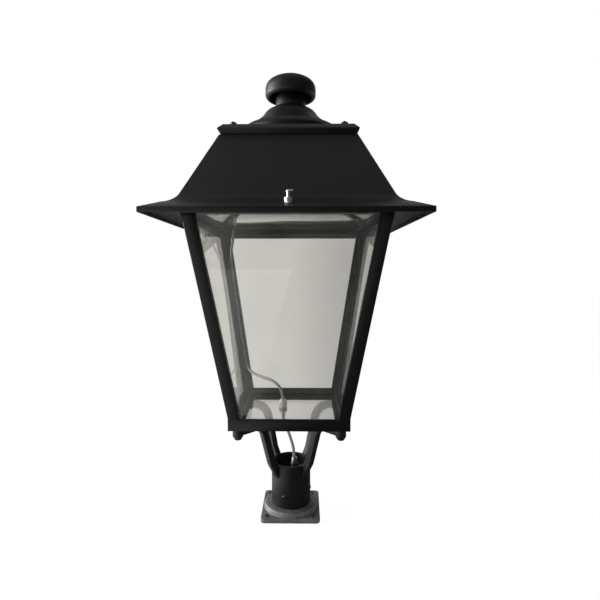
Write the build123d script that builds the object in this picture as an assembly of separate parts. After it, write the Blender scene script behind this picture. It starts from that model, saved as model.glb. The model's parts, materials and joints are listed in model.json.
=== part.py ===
from build123d import *

import os
from math import acos, atan2, cos, degrees, radians, sin, sqrt, tan

# Post top lantern with a glazed tapered cage, a hinged hipped roof, a chimney and a flanged post socket.
# Millimetres. The origin is the centre of the flange's lower face, +Z is up, and the front, with its latch,
# faces -Y.

# ---------------------------------------------------------------- driving dimensions
# Fits shared by all pieces
SEAT = 0.3  # gap where one piece only rests near another
SNUG = 0.1  # radial gap of a screw, cable or boss in its own hole
RUNNING = 0.05  # radial clearance of a turning pin

# Flange with its spigot
FLANGE_SIDE = 117.0
FLANGE_THICK = 9.3
FLANGE_CORNER = 8.0
FLANGE_EDGE = 1.5
FLANGE_BOSS_R = 55.0
FLANGE_BOSS_RISE = 9.0
FLANGE_BOSS_ROUND = 6.0
BOLT_SPACING = 90.0
BOLT_HOLE_R = 5.5
SPIGOT_R = 30.0
SPIGOT_WALL = 4.0
SPIGOT_LENGTH = 55.0

# Hub that slides over the spigot
HUB_R = 39.8
HUB_WEB = 5.0
HUB_CUP_DEPTH = 26.0
HUB_CUP_WALL = 5.0
HUB_EDGE = 1.5
GRUB_R = 4.0
GRUB_PROUD = 1.5
GRUB_RISE = 24.0
GRUB_ANGLES = (-108.0, 12.0, 132.0)

# Four cast support arms
ARM_THICK = 13.0
ARM_DEPTH = 14.0
ARM_BEND_R = 34.0
ARM_CROWN_OUT = 97.0
ARM_FOOT_OUT = 134.0
ARM_LEG_LEAN = 16.3
ARM_ROOT_LOW = 60.0
ARM_FOOT_R = 10.0
ARM_FOOT_DROP = 18.0
ARM_BOLT_R = 4.0
ARM_BOLT_HEAD_R = 6.5
ARM_BOLT_HEAD = 3.0

# Tapered cage
CAGE_FOOT_Z = 203.3
CAGE_HEIGHT = 387.0
CAGE_FOOT_HALF = 107.2
CAGE_TOP_HALF = 173.8
FRAME_WALL = 4.0
POST_WIDTH = 21.5
POST_ROUND = 2.0
BOTTOM_RAIL_HEIGHT = 22.0
TOP_RAIL_HEIGHT = 19.0
BOTTOM_LEDGE = 24.0
TOP_LEDGE = 22.0
GLASS_THICK = 4.0
BEAD_WIDTH = 3.8
BEAD_DEPTH = 4.0

# Light unit under the roof; setbacks are measured in from the cage's top
GASKET_THICK = 1.2
CEILING_SETBACK = 14.8
CEILING_THICK = 5.0
TRAY_SETBACK = 4.8
TRAY_WALL = 2.5
TRAY_LEDGE = 33.5
TRAY_BOX_RISE = 36.0
TRAY_SCREW_SPREAD = 110.0
TRAY_SCREW_R = 2.0
TRAY_SCREW_HEAD_R = 3.8
TRAY_SCREW_HEAD = 2.2
SEAL_WIDTH = 7.0
LED_BOARD_GAP = 18.0
LED_BOARD_THICK = 1.6
REFLECTOR_SHEET = 1.0
REFLECTOR_LIFT = 3.0
LENS_PITCH = 48.0
LENSES_PER_SIDE = 4
LENS_R = 8.5
LENS_TIP_R = 5.0
LENS_HEIGHT = 6.0
SINK_LENGTH = 200.0
SINK_WIDTH = 104.0
SINK_BASE = 5.0
SINK_FINS = 9
SINK_FIN_THICK = 2.5
SINK_FIN_HEIGHT = 20.0
DRIVER_SIZE = (150.0, 44.0, 32.0)
DRIVER_ROUND = 4.0
BLOCK_SIZE = (44.0, 22.0, 26.0)
BLOCK_ENTRY = (-82.0, 103.0)
BLOCK_ENTRY_RISE = 16.5
BLOCK_ENTRY_DEPTH = 8.0

# Hipped roof with its flared brim; heights are measured up from the cage's top
SHEET = 2.0
ROOF_RISE = 136.2
ROOF_TOP_HALF = 119.3
KNEE_RISE = 25.0
KNEE_OVERHANG = 1.0
FLARE_ARC_OUT = 21.2
FLARE_ARC_DROP = 14.4
FLARE_ARC_MIDDLE = (0.42, 0.62)  # shares of the arc's reach and drop at its middle
FLARE_OUT = 28.5
FLARE_DROP = 12.0
BRIM_LIP = 8.3
THROAT_R = 76.0
ROOF_FRAME_WALL = 2.5
ROOF_FRAME_SETBACK = 24.8
ROOF_FRAME_RISE = 25.0

# Crown plate, set in or out from the roof's top edge
CROWN_HEIGHT = 19.5
CROWN_FOOT_IN = 2.8
CROWN_TIP_OUT = 2.7
CROWN_TIP_RISE = 9.0
CROWN_TIP_EDGE = 1.5
CROWN_TOP_IN = 6.0
CROWN_WALL = 4.0
CROWN_BOSS_R = 9.0
CROWN_BOLT_IN = 21.3
CROWN_BOLT_R = 3.0
CROWN_NUT_R = 6.5
CROWN_NUT = 5.5
CROWN_WASHER_R = 8.0
CROWN_WASHER = 1.2
CROWN_BOLT_PROUD = 9.0

# Chimney, with its skirt's and shoulder's rises above the crown plate, and its cap
BELL_FOOT_R = 96.0
BELL_FOOT_RISE = 14.0
BELL_SKIRT_R = 91.0
BELL_SKIRT_RISE = 22.0
BELL_SKIRT_SAG = 2.2
BELL_WAIST_R = 56.0
BELL_WAIST_RISE = 46.0
BELL_SHOULDER_R = 52.5
BELL_SHOULDER_RISE = 50.5
BELL_SHOULDER_TOP_R = 33.0
BELL_SHOULDER_TOP_RISE = 63.0
BELL_SHOULDER_BULGE = 3.0
BELL_NECK_HOLLOW = 0.7
BELL_NECK_RISE = 68.0
BELL_WALL = 2.5
NECK_R = 29.0
NECK_TOP_RISE = 99.0
CAP_R = 49.5
CAP_RIM_RISE = 84.5
CAP_LIP = 7.5
CAP_SIDE = 9.0
CAP_DOME = 27.5
CAP_SHOULDER = 19.0
CAP_WALL = 2.5
CAP_STUD_R = 4.0
CAP_NUT_R = 7.5
CAP_NUT = 6.0
CAP_BOSS_R = 8.0
BRIDGE_WIDTH = 14.0
BRIDGE_THICK = 5.0
BRIDGE_DROP = 8.0

# Roof hinges at the back
HINGE_STANDOFF = 11.2
HINGE_DROP = 4.0
HINGE_APART = 190.0
HINGE_LENGTH = 60.0
HINGE_MIDDLE = 24.0
HINGE_KNUCKLE_R = 5.5
HINGE_PIN_R = 2.5
HINGE_PIN_HEAD = 1.5
HINGE_PIN_HEAD_R = 3.7
HINGE_PLATE = 3.5
HINGE_LEAF_REACH = 17.0

# Quarter-turn latch at the front
LATCH_X = 3.0
LATCH_REACH = 3.0
LATCH_STEM_R = 3.0
LATCH_STEM_RISE = 15.5
LATCH_LEVER_REACH = 8.0
LATCH_LEVER_WIDTH = 5.0
LATCH_LEVER_THICK = 3.0
LATCH_BUSH_R = 7.0
LATCH_NECK_R = 5.5
LATCH_BUSH_RISE = 3.0
LATCH_CAM_REACH = 21.0
LATCH_CAM_WIDTH = 10.0
LATCH_CAM_THICK = 3.0
LATCH_CAM_DROP = 1.0
KEEPER_WIDTH = 30.0
KEEPER_THICK = 3.0
KEEPER_LIFT = 1.0
KEEPER_REACH = 13.0

# Supply cable and its fittings
CABLE_R = 3.0
CABLE_INSET = 13.0
CABLE_BEND_SHARE = 0.45  # part of the shorter run that each bend takes
CABLE_CLIP_WALL = 1.2
CABLE_CLIP_LENGTH = 8.0
CABLE_CLIP_SHARES = (0.3, 0.53, 0.76)
HUB_GLAND_X = 7.0
HUB_GLAND_R = 8.0
HUB_GLAND_HEIGHT = 31.0
GLAND_HEXAGON_SHARE = 0.35  # part of a gland's height that its hexagon takes
GLAND_DOME_SHARES = (0.9, 0.62)  # radii of its domed nut's foot and top over the hexagon's
PANE_GLAND_AT = (-17.0, 15.0)
PANE_GLAND_R = 9.0
PANE_GLAND_THREAD_R = 7.0
PANE_GLAND_HEIGHT = 16.0
PANE_GLAND_TAIL = 2.0
GLAND_NUT_R = 10.0
GLAND_NUT = 5.0
GROMMET_NECK_R = 6.2
GROMMET_COLLAR_R = 9.0
GROMMET_COLLAR = 1.8

# ---------------------------------------------------------------- heights and slopes worked out from them
SIDES = {"front": 0, "right": 90, "back": 180, "left": 270}
CORNERS = {"front_left": 0, "front_right": 90, "back_right": 180, "back_left": 270}
first_corner = degrees(atan2(-1, -1))  # direction of the front left corner

boss_top = FLANGE_THICK + FLANGE_BOSS_RISE
spigot_top = boss_top + SPIGOT_LENGTH
web_low = spigot_top + SEAT
web_top = web_low + HUB_WEB
hub_top = web_top + HUB_CUP_DEPTH

cage_top = CAGE_FOOT_Z + CAGE_HEIGHT
cage_lean = (CAGE_TOP_HALF - CAGE_FOOT_HALF) / CAGE_HEIGHT
bottom_rail_top = CAGE_FOOT_Z + BOTTOM_RAIL_HEIGHT
foot_half = CAGE_FOOT_HALF + cage_lean * BOTTOM_RAIL_HEIGHT
top_rail_low = cage_top - TOP_RAIL_HEIGHT
top_ledge_low = cage_top - FRAME_WALL
bottom_glass_low = CAGE_FOOT_Z + FRAME_WALL
bottom_glass_top = bottom_glass_low + GLASS_THICK
side_glass_low = bottom_glass_top + SEAT
side_glass_top = top_ledge_low - SEAT
glass_inset = FRAME_WALL + SEAT
bead_inset = glass_inset + GLASS_THICK + SEAT

ceiling_half = CAGE_TOP_HALF - CEILING_SETBACK
ceiling_low = cage_top + GASKET_THICK
ceiling_top = ceiling_low + CEILING_THICK
tray_half = CAGE_TOP_HALF - TRAY_SETBACK
tray_rim_in = ceiling_half + 2 * SEAT
tray_box_half = ceiling_half - TRAY_LEDGE
tray_screw_out = (tray_half + tray_rim_in) / 2
board_half = tray_box_half - TRAY_WALL - LED_BOARD_GAP
tray_low = ceiling_top + SEAT
tray_deck = tray_low + TRAY_WALL
tray_top = tray_low + TRAY_BOX_RISE
board_top = tray_top - TRAY_WALL

roof_top = cage_top + ROOF_RISE
knee_z = cage_top + KNEE_RISE
knee_half = CAGE_TOP_HALF + KNEE_OVERHANG
roof_slope = (knee_half - ROOF_TOP_HALF) / (roof_top - knee_z)
sheet_across = SHEET * sqrt(1 + roof_slope**2)
flare_end_half = knee_half + FLARE_ARC_OUT
flare_end_z = knee_z - FLARE_ARC_DROP
brim_half = flare_end_half + FLARE_OUT
brim_top = flare_end_z - FLARE_DROP
brim_low = brim_top - BRIM_LIP
brim_slope = FLARE_DROP / FLARE_OUT
frame_low = tray_deck + SEAL_WIDTH / 2 + SEAT
frame_in = CAGE_TOP_HALF - ROOF_FRAME_SETBACK
crown_top = roof_top + CROWN_HEIGHT
neck_top = crown_top + NECK_TOP_RISE
cap_rim = crown_top + CAP_RIM_RISE
cap_lip_top = cap_rim + CAP_LIP
cap_spring = cap_lip_top + CAP_SIDE
bridge_low = neck_top - BRIDGE_DROP
stud_top = cap_spring + CAP_DOME - 2 * CAP_WALL

hinge_out = CAGE_TOP_HALF + HINGE_STANDOFF
hinge_z = cage_top - HINGE_DROP
latch_out = flare_end_half + LATCH_REACH
latch_seat = brim_top + (brim_half - latch_out) * brim_slope
cam_top = cage_top - LATCH_CAM_DROP
keeper_low = cam_top + KEEPER_LIFT

grommet_out = (tray_box_half + frame_in) / 2
block_entry_z = tray_top + BLOCK_ENTRY_RISE


# ---------------------------------------------------------------- ways of making a piece
def save(name, *pieces):
    """Writes the pieces as one file, each of them a solid of its own."""
    solids = [solid for piece in pieces for solid in piece.solids()]
    export_step(Compound(solids), f"parts/{name}.step")


def turned(angle, piece):
    return Rot(0, 0, angle) * piece


def rod(radius, low, high, x=0.0, y=0.0):
    """An upright cylinder between two heights."""
    return Pos(x, y, (low + high) / 2) * Cylinder(radius, high - low)


def block(size_x, size_y, low, high, x=0.0, y=0.0):
    """An upright box between two heights."""
    return Pos(x, y, (low + high) / 2) * Box(size_x, size_y, high - low)


def hexagon(radius, low, high, x=0.0, y=0.0):
    """An upright hexagonal prism; the radius is to its corners."""
    return Pos(x, y, low) * extrude(RegularPolygon(radius, 6), high - low)


def cage_half(z):
    """Half the cage's outer width at height z."""
    return CAGE_FOOT_HALF + cage_lean * (z - CAGE_FOOT_Z)


def leaning(outline, low, high):
    """A straight-sided solid of the cage: outline gives its plan for half the cage's width at a height."""
    ends = [Pos(0, 0, z) * make_face(Polyline(*outline(cage_half(z)), close=True)) for z in (low, high)]
    return loft(ends, ruled=True)


def upright(outline, low, high):
    """The same plan carried straight up, at the width of the cage's foot."""
    return Pos(0, 0, low) * extrude(make_face(Polyline(*outline(foot_half), close=True)), high - low)


def strip(inset, depth, end_gap=0.0):
    """Plan of a strip along the front with mitred ends, its outer side lying inset behind the cage's face."""

    def outline(half):
        near = half - inset
        far = near - depth
        near_end, far_end = near - end_gap, far - end_gap
        return [(-near_end, -near), (near_end, -near), (far_end, -far), (-far_end, -far)]

    return outline


def four_bars(profile):
    """The profile, in (distance out, height), run along each side between mitred corners: four bars."""
    reach = 2 * brim_half
    wedge = extrude(make_face(Polyline((0, 0), (-reach, -reach), (reach, -reach), close=True)), reach * 2)
    run = extrude(Plane.YZ * mirror(profile, Plane.YZ), reach, both=True)
    front = (run & wedge).solid()
    return [turned(angle, front) for angle in SIDES.values()]


def square_ring(profile):
    """The same bars joined into one piece."""
    first, *others = four_bars(profile)
    return first.fuse(*others)


def grid(count, pitch):
    """Evenly spaced places about zero."""
    return [(i - (count - 1) / 2) * pitch for i in range(count)]


# ---------------------------------------------------------------- flange, hub and arms
def post_flange():
    plate = extrude(RectangleRounded(FLANGE_SIDE, FLANGE_SIDE, FLANGE_CORNER), FLANGE_THICK)
    plate = chamfer(plate.faces().sort_by(Axis.Z)[-1].edges(), FLANGE_EDGE)
    boss = rod(FLANGE_BOSS_R, FLANGE_THICK, boss_top)
    boss = fillet(boss.faces().sort_by(Axis.Z)[-1].edges(), FLANGE_BOSS_ROUND)
    body = plate + boss + rod(SPIGOT_R, boss_top, spigot_top)
    body -= rod(SPIGOT_R - SPIGOT_WALL, 0, spigot_top)
    for x in grid(2, BOLT_SPACING):
        for y in grid(2, BOLT_SPACING):
            body -= rod(BOLT_HOLE_R, 0, FLANGE_THICK, x, y)
    return body


def hub_collar():
    body = rod(HUB_R, boss_top, hub_top)
    ends = body.faces().sort_by(Axis.Z)
    body = chamfer(ends[0].edges() + ends[-1].edges(), HUB_EDGE)
    body -= rod(SPIGOT_R + SEAT, boss_top, web_low)
    body -= rod(HUB_R - HUB_CUP_WALL, web_top, hub_top)
    body -= rod(HUB_GLAND_R / 2 + SNUG, web_low, web_top, HUB_GLAND_X)
    for angle in GRUB_ANGLES:
        body -= grub_screw(angle, SNUG)
    return body


def grub_screw(angle, extra=0.0):
    """A set screw through the hub's wall, its tip against the spigot."""
    tip = SPIGOT_R + SNUG
    length = HUB_R + GRUB_PROUD - tip
    screw = Pos(tip + length / 2, 0, boss_top + GRUB_RISE) * Rot(0, 90, 0) * Cylinder(GRUB_R + extra, length)
    if not extra:
        socket = RegularPolygon(GRUB_R / 2, 6)
        screw -= Pos(tip + length / 2, 0, boss_top + GRUB_RISE) * Rot(0, 90, 0) * extrude(socket, length)
    return turned(angle, screw)


def support_arm():
    """One arm in the plane through the axis and the cage's corner, pointing along +X."""
    top = CAGE_FOOT_Z
    bend_z = top - ARM_BEND_R
    lean = radians(ARM_LEG_LEAN)

    def on_bend(radius, angle):
        return (ARM_CROWN_OUT + radius * cos(radians(angle)), bend_z + radius * sin(radians(angle)))

    inner_r, under_r = ARM_BEND_R, ARM_BEND_R - ARM_DEPTH
    bend_end = 180 - ARM_LEG_LEAN
    half_way = (90 + bend_end) / 2
    inner_end = on_bend(inner_r, bend_end)
    under_end = on_bend(under_r, bend_end)
    inner_low_z = hub_top + ARM_DEPTH
    inner_low = (inner_end[0] - (inner_end[1] - inner_low_z) * tan(lean), inner_low_z)
    under_low_z = hub_top + ARM_DEPTH / 2
    under_low = (under_end[0] - (under_end[1] - under_low_z) * tan(lean), under_low_z)
    inside_hub = HUB_R - HUB_CUP_WALL / 2
    under_crown = top - ARM_DEPTH
    root_z = boss_top + ARM_ROOT_LOW
    edge = [
        Line((ARM_FOOT_OUT, top), on_bend(inner_r, 90)),
        ThreePointArc(on_bend(inner_r, 90), on_bend(inner_r, half_way), inner_end),
        Polyline(inner_end, inner_low, (HUB_R, hub_top - HUB_EDGE), (inside_hub, hub_top - HUB_EDGE),
                 (inside_hub, root_z), (HUB_R, root_z), under_low, under_end),
        ThreePointArc(under_end, on_bend(under_r, half_way), on_bend(under_r, 90)),
        Polyline(on_bend(under_r, 90), (ARM_FOOT_OUT, under_crown), (ARM_FOOT_OUT, top)),
    ]
    plate = extrude(Plane.XZ * make_face(edge), ARM_THICK / 2, both=True)
    foot = rod(ARM_FOOT_R, top - ARM_FOOT_DROP, top, ARM_FOOT_OUT)
    foot = fillet(foot.faces().sort_by(Axis.Z)[0].edges(), ARM_FOOT_R / 4)
    arm = plate + foot
    arm -= rod(ARM_BOLT_R, top - ARM_FOOT_DROP, top, ARM_FOOT_OUT)
    return arm - rod(HUB_R + SNUG, boss_top, hub_top)


def arm_bolt():
    head_top = CAGE_FOOT_Z - ARM_FOOT_DROP
    shank = rod(ARM_BOLT_R - SNUG, head_top, CAGE_FOOT_Z + FRAME_WALL - SNUG, ARM_FOOT_OUT)
    return shank + hexagon(ARM_BOLT_HEAD_R, head_top - ARM_BOLT_HEAD, head_top, ARM_FOOT_OUT)


# ---------------------------------------------------------------- cage
def bottom_rail(angle):
    """An angle rail with an upright face, and a ledge for the bottom pane with the arms' bolt holes."""
    rail = upright(strip(0, FRAME_WALL), CAGE_FOOT_Z, bottom_rail_top)
    rail += upright(strip(FRAME_WALL, BOTTOM_LEDGE - FRAME_WALL), CAGE_FOOT_Z, bottom_glass_low)
    rail = turned(angle, rail)
    for corner in CORNERS.values():
        hole = rod(ARM_BOLT_R, CAGE_FOOT_Z, bottom_glass_low, ARM_FOOT_OUT)
        rail -= turned(first_corner + corner, hole)
    return rail


def top_rail(side):
    """A ledge for the cover; all but the front rail have a leaning face below it."""
    rail = leaning(strip(0, TOP_LEDGE), top_ledge_low, cage_top)
    if side != "front":
        rail += leaning(strip(0, FRAME_WALL), top_rail_low, top_ledge_low)
    for x in grid(2, 2 * TRAY_SCREW_SPREAD):
        rail -= rod(TRAY_SCREW_R, top_ledge_low, cage_top, x, -tray_screw_out)
    return turned(SIDES[side], rail)


def corner_posts():
    """Four angle posts; the two front ones have a longer front leg, up to the front rail's ledge."""

    def outline(half):
        out, inside, end = -half, -half + FRAME_WALL, -half + POST_WIDTH
        return [(out, out), (end, out), (end, inside), (inside, inside), (inside, end), (out, end)]

    def front_leg(half):
        out, inside, end = -half, -half + FRAME_WALL, -half + POST_WIDTH
        return [(out, out), (end, out), (end, inside), (inside, inside)]

    post = leaning(outline, bottom_rail_top, top_rail_low)
    mid = (bottom_rail_top + top_rail_low) / 2
    outer_edge = post.edges().sort_by_distance((-cage_half(mid), -cage_half(mid), mid))[0]
    post = fillet(outer_edge, POST_ROUND)
    tall = post + leaning(front_leg, top_rail_low, top_ledge_low)
    return {
        "front_left": tall,
        "front_right": mirror(tall, Plane.YZ),
        "back_right": turned(CORNERS["back_right"], post),
        "back_left": turned(CORNERS["back_left"], post),
    }


def side_pane():
    return leaning(strip(glass_inset, GLASS_THICK, SEAT), side_glass_low, side_glass_top)


def bottom_pane():
    half = foot_half - FRAME_WALL - SEAT
    pane = block(2 * half, 2 * half, bottom_glass_low, bottom_glass_top)
    return pane - rod(PANE_GLAND_THREAD_R + SNUG, bottom_glass_low, bottom_glass_top, *PANE_GLAND_AT)


def glazing_bead(side):
    """Bead strips that hold a pane: along the bottom, up each post and, but for the front, along the top."""
    across = strip(bead_inset, BEAD_DEPTH, SEAT)
    lower_top = side_glass_low + BEAD_WIDTH
    upper_low = side_glass_top - BEAD_WIDTH

    def beside_post(half):
        start = -half + POST_WIDTH - BEAD_WIDTH
        near = -half + bead_inset
        return [(start, near), (start + BEAD_WIDTH, near), (start + BEAD_WIDTH, near + BEAD_DEPTH),
                (start, near + BEAD_DEPTH)]

    left = leaning(beside_post, lower_top + SEAT, side_glass_top if side == "front" else upper_low - SEAT)
    strips = [leaning(across, side_glass_low, lower_top), left, mirror(left, Plane.YZ)]
    if side != "front":
        strips.append(leaning(across, upper_low, side_glass_top))
    return [turned(SIDES[side], bead) for bead in strips]


# ---------------------------------------------------------------- light unit
def polygon(*points):
    """A section as a face, from (distance out, height) points."""
    return make_face(Polyline(*points, close=True))


def cover_gasket():
    inner = ceiling_half - SEAL_WIDTH
    section = polygon((inner, cage_top), (ceiling_half, cage_top),
                      (ceiling_half, ceiling_low), (inner, ceiling_low))
    return four_bars(section)


def ceiling_glass():
    glass = block(2 * ceiling_half, 2 * ceiling_half, ceiling_low, ceiling_top)
    return glass - rod(GROMMET_NECK_R + SNUG, ceiling_low, ceiling_top, -grommet_out, grommet_out)


def gear_tray():
    box_in = tray_box_half - TRAY_WALL
    section = polygon(
        (tray_half, cage_top), (tray_half, tray_deck), (tray_box_half, tray_deck), (tray_box_half, tray_top),
        (0, tray_top), (0, board_top), (box_in, board_top), (box_in, tray_low),
        (tray_rim_in, tray_low), (tray_rim_in, cage_top),
    )
    tray = square_ring(section)
    tray -= rod(GROMMET_NECK_R + SNUG, tray_low, tray_deck, -grommet_out, grommet_out)
    for angle in SIDES.values():
        for x in grid(2, 2 * TRAY_SCREW_SPREAD):
            tray -= turned(angle, rod(TRAY_SCREW_R, cage_top, tray_deck, x, -tray_screw_out))
    return tray


def tray_screws():
    screws = []
    for angle in SIDES.values():
        for x in grid(2, 2 * TRAY_SCREW_SPREAD):
            shank = rod(TRAY_SCREW_R - SNUG, top_ledge_low, tray_deck, x, -tray_screw_out)
            head = rod(TRAY_SCREW_HEAD_R, tray_deck, tray_deck + TRAY_SCREW_HEAD, x, -tray_screw_out)
            screws.append(turned(angle, shank + head))
    return screws


def roof_seal():
    """Rubber strip on the tray's rim that the closed roof comes down on."""
    out = frame_in + SEAL_WIDTH + 2 * SEAT
    section = polygon((out - SEAL_WIDTH, tray_deck), (out, tray_deck), (out, frame_low - SEAT),
                      (out - SEAL_WIDTH, frame_low - SEAT))
    return four_bars(section)


def led_board():
    return block(2 * board_half, 2 * board_half, board_top - LED_BOARD_THICK, board_top)


def reflector():
    """White sloping plates round the light well, from near the tray's mouth up to the board's edges."""
    mouth = tray_box_half - TRAY_WALL - SEAT
    top = board_half + SEAT
    section = polygon((mouth, tray_deck + REFLECTOR_LIFT), (top + REFLECTOR_SHEET, board_top - SEAT),
                      (top, board_top - SEAT), (mouth - REFLECTOR_SHEET, tray_deck + REFLECTOR_LIFT))
    return four_bars(section)


def led_lenses():
    high = board_top - LED_BOARD_THICK
    lens = Cone(LENS_TIP_R, LENS_R, LENS_HEIGHT)
    places = grid(LENSES_PER_SIDE, LENS_PITCH)
    return [Pos(x, y, high - LENS_HEIGHT / 2) * lens for x in places for y in places]


def heat_sink():
    y = -SINK_WIDTH / 2
    sink = block(SINK_LENGTH, SINK_WIDTH, tray_top, tray_top + SINK_BASE, 0, y)
    pitch = (SINK_WIDTH - SINK_FIN_THICK) / (SINK_FINS - 1)
    for offset in grid(SINK_FINS, pitch):
        low = tray_top + SINK_BASE
        sink += block(SINK_LENGTH, SINK_FIN_THICK, low, low + SINK_FIN_HEIGHT, 0, y + offset)
    return sink


def driver():
    length, width, height = DRIVER_SIZE
    box = block(length, width, tray_top, tray_top + height, 0, width / 2 + SINK_FIN_HEIGHT)
    return fillet(box.edges().filter_by(Axis.X).sort_by(Axis.Z)[-2:], DRIVER_ROUND)


def terminal_block():
    length, width, height = BLOCK_SIZE
    x, y = BLOCK_ENTRY
    body = block(length, width, tray_top, tray_top + height, x + length / 2, y)
    bore = Rot(0, 90, 0) * Cylinder(CABLE_R + SNUG, BLOCK_ENTRY_DEPTH)
    return body - Pos(x + BLOCK_ENTRY_DEPTH / 2, y, block_entry_z) * bore


# ---------------------------------------------------------------- roof
def roof_shell():
    """Sheet roof: level top with a round throat, four straight slopes, a flare and a turned-down lip."""
    out_share, drop_share = FLARE_ARC_MIDDLE
    arc_mid = (knee_half + FLARE_ARC_OUT * out_share, knee_z - FLARE_ARC_DROP * drop_share)
    outer = [
        Polyline((0, roof_top), (ROOF_TOP_HALF, roof_top), (knee_half, knee_z)),
        ThreePointArc((knee_half, knee_z), arc_mid, (flare_end_half, flare_end_z)),
        Polyline((flare_end_half, flare_end_z), (brim_half, brim_top), (brim_half, brim_low)),
    ]
    wire = Wire([edge for line in outer for edge in line.edges()])
    section = make_face(wire.offset_2d(SHEET, kind=Kind.INTERSECTION, side=Side.RIGHT))
    roof = square_ring(section)
    roof -= rod(THROAT_R, roof_top - SHEET, roof_top)
    for x, y in crown_bolt_places():
        roof -= rod(CROWN_BOLT_R + SNUG, roof_top - SHEET, roof_top, x, y)
    return roof - rod(LATCH_NECK_R + SNUG, brim_low, knee_z, LATCH_X, -latch_out)


def roof_frame():
    """Angle bars inside the roof's foot, which stiffen it and come down on the seal."""

    def lining(z):
        return knee_half - roof_slope * (z - knee_z) - sheet_across - SEAT

    low, high = frame_low, frame_low + ROOF_FRAME_RISE
    wall_z = low + ROOF_FRAME_WALL
    section = polygon((frame_in, low), (lining(low), low), (lining(high), high),
                      (lining(high) - ROOF_FRAME_WALL, high), (lining(wall_z) - ROOF_FRAME_WALL, wall_z),
                      (frame_in, wall_z))
    return four_bars(section)


def crown_bolt_places():
    apart = 2 * (ROOF_TOP_HALF - CROWN_BOLT_IN)
    return [(x, y) for x in grid(2, apart) for y in grid(2, apart)]


def crown_plate():
    """Hollow cast cornice with a pointed edge, a throat ring and a boss for each bolt."""
    foot, top = roof_top, crown_top
    tip = foot + CROWN_TIP_RISE
    tip_half, top_half = ROOF_TOP_HALF + CROWN_TIP_OUT, ROOF_TOP_HALF - CROWN_TOP_IN
    outer = polygon((0, foot), (ROOF_TOP_HALF - CROWN_FOOT_IN, foot), (tip_half, tip),
                    (tip_half, tip + CROWN_TIP_EDGE), (top_half, top), (0, top))
    pocket_half = top_half - CROWN_WALL
    pocket = block(2 * pocket_half, 2 * pocket_half, foot, top - CROWN_WALL)
    pocket -= rod(THROAT_R + CROWN_WALL, foot, top - CROWN_WALL)
    for x, y in crown_bolt_places():
        pocket -= rod(CROWN_BOSS_R, foot, top - CROWN_WALL, x, y)
    crown = square_ring(outer) - pocket - rod(THROAT_R, foot, top)
    for x, y in crown_bolt_places():
        crown -= rod(CROWN_BOLT_R + SNUG, foot, top, x, y)
    return crown


def crown_bolts():
    """Hexagon bolts up through the roof's top and the crown, each with a washer and a nut on top."""
    bolts = []
    under = roof_top - SHEET
    nut_low = crown_top + CROWN_WASHER
    for x, y in crown_bolt_places():
        bolt = rod(CROWN_BOLT_R, under, crown_top + CROWN_BOLT_PROUD, x, y)
        bolt += hexagon(CROWN_NUT_R, under - CROWN_NUT, under, x, y)
        bolt += rod(CROWN_WASHER_R, crown_top, nut_low, x, y)
        bolt += hexagon(CROWN_NUT_R, nut_low, nut_low + CROWN_NUT, x, y)
        bolts.append(bolt)
    return bolts


def chimney_bell():
    """Spun chimney: a foot ring, a flared skirt, a rounded shoulder and a neck, with a bridge bar inside."""

    def at(radius, rise):
        return Vector(radius, crown_top + rise)

    def bowed(start, end, bulge):
        """An arc between two points that bulges up and out, or down and in where bulge is negative."""
        across = (end - start).normalized()
        return ThreePointArc(start, (start + end) / 2 + Vector(across.Y, -across.X) * bulge, end)

    foot, rim = at(BELL_FOOT_R, 0), at(BELL_FOOT_R, BELL_FOOT_RISE)
    skirt, waist = at(BELL_SKIRT_R, BELL_SKIRT_RISE), at(BELL_WAIST_R, BELL_WAIST_RISE)
    shoulder = at(BELL_SHOULDER_R, BELL_SHOULDER_RISE)
    shoulder_top = at(BELL_SHOULDER_TOP_R, BELL_SHOULDER_TOP_RISE)
    neck = at(NECK_R, BELL_NECK_RISE)
    outer = [
        Polyline(foot, rim, skirt),
        bowed(skirt, waist, -BELL_SKIRT_SAG),
        Line(waist, shoulder),
        bowed(shoulder, shoulder_top, BELL_SHOULDER_BULGE),
        bowed(shoulder_top, neck, -BELL_NECK_HOLLOW),
        Line(neck, (NECK_R, neck_top)),
    ]
    wire = Wire([edge for line in outer for edge in line.edges()])
    section = make_face(wire.offset_2d(BELL_WALL, kind=Kind.TANGENT, side=Side.LEFT))
    bell = revolve(Plane.XZ * section, Axis.Z)
    bore = NECK_R - BELL_WALL
    bridge_top = bridge_low + BRIDGE_THICK
    bridge = block(2 * bore, BRIDGE_WIDTH, bridge_low, bridge_top) & rod(bore + SNUG, bridge_low, bridge_top)
    bridge -= rod(CAP_STUD_R + SNUG, bridge_low, bridge_top)
    return bell + bridge


def cap_stud():
    """Stud through the bridge bar, with a nut below it."""
    stud = rod(CAP_STUD_R, bridge_low - CAP_NUT - 2 * CAP_WALL, stud_top)
    return stud + hexagon(CAP_NUT_R, bridge_low - CAP_NUT, bridge_low)


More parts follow.
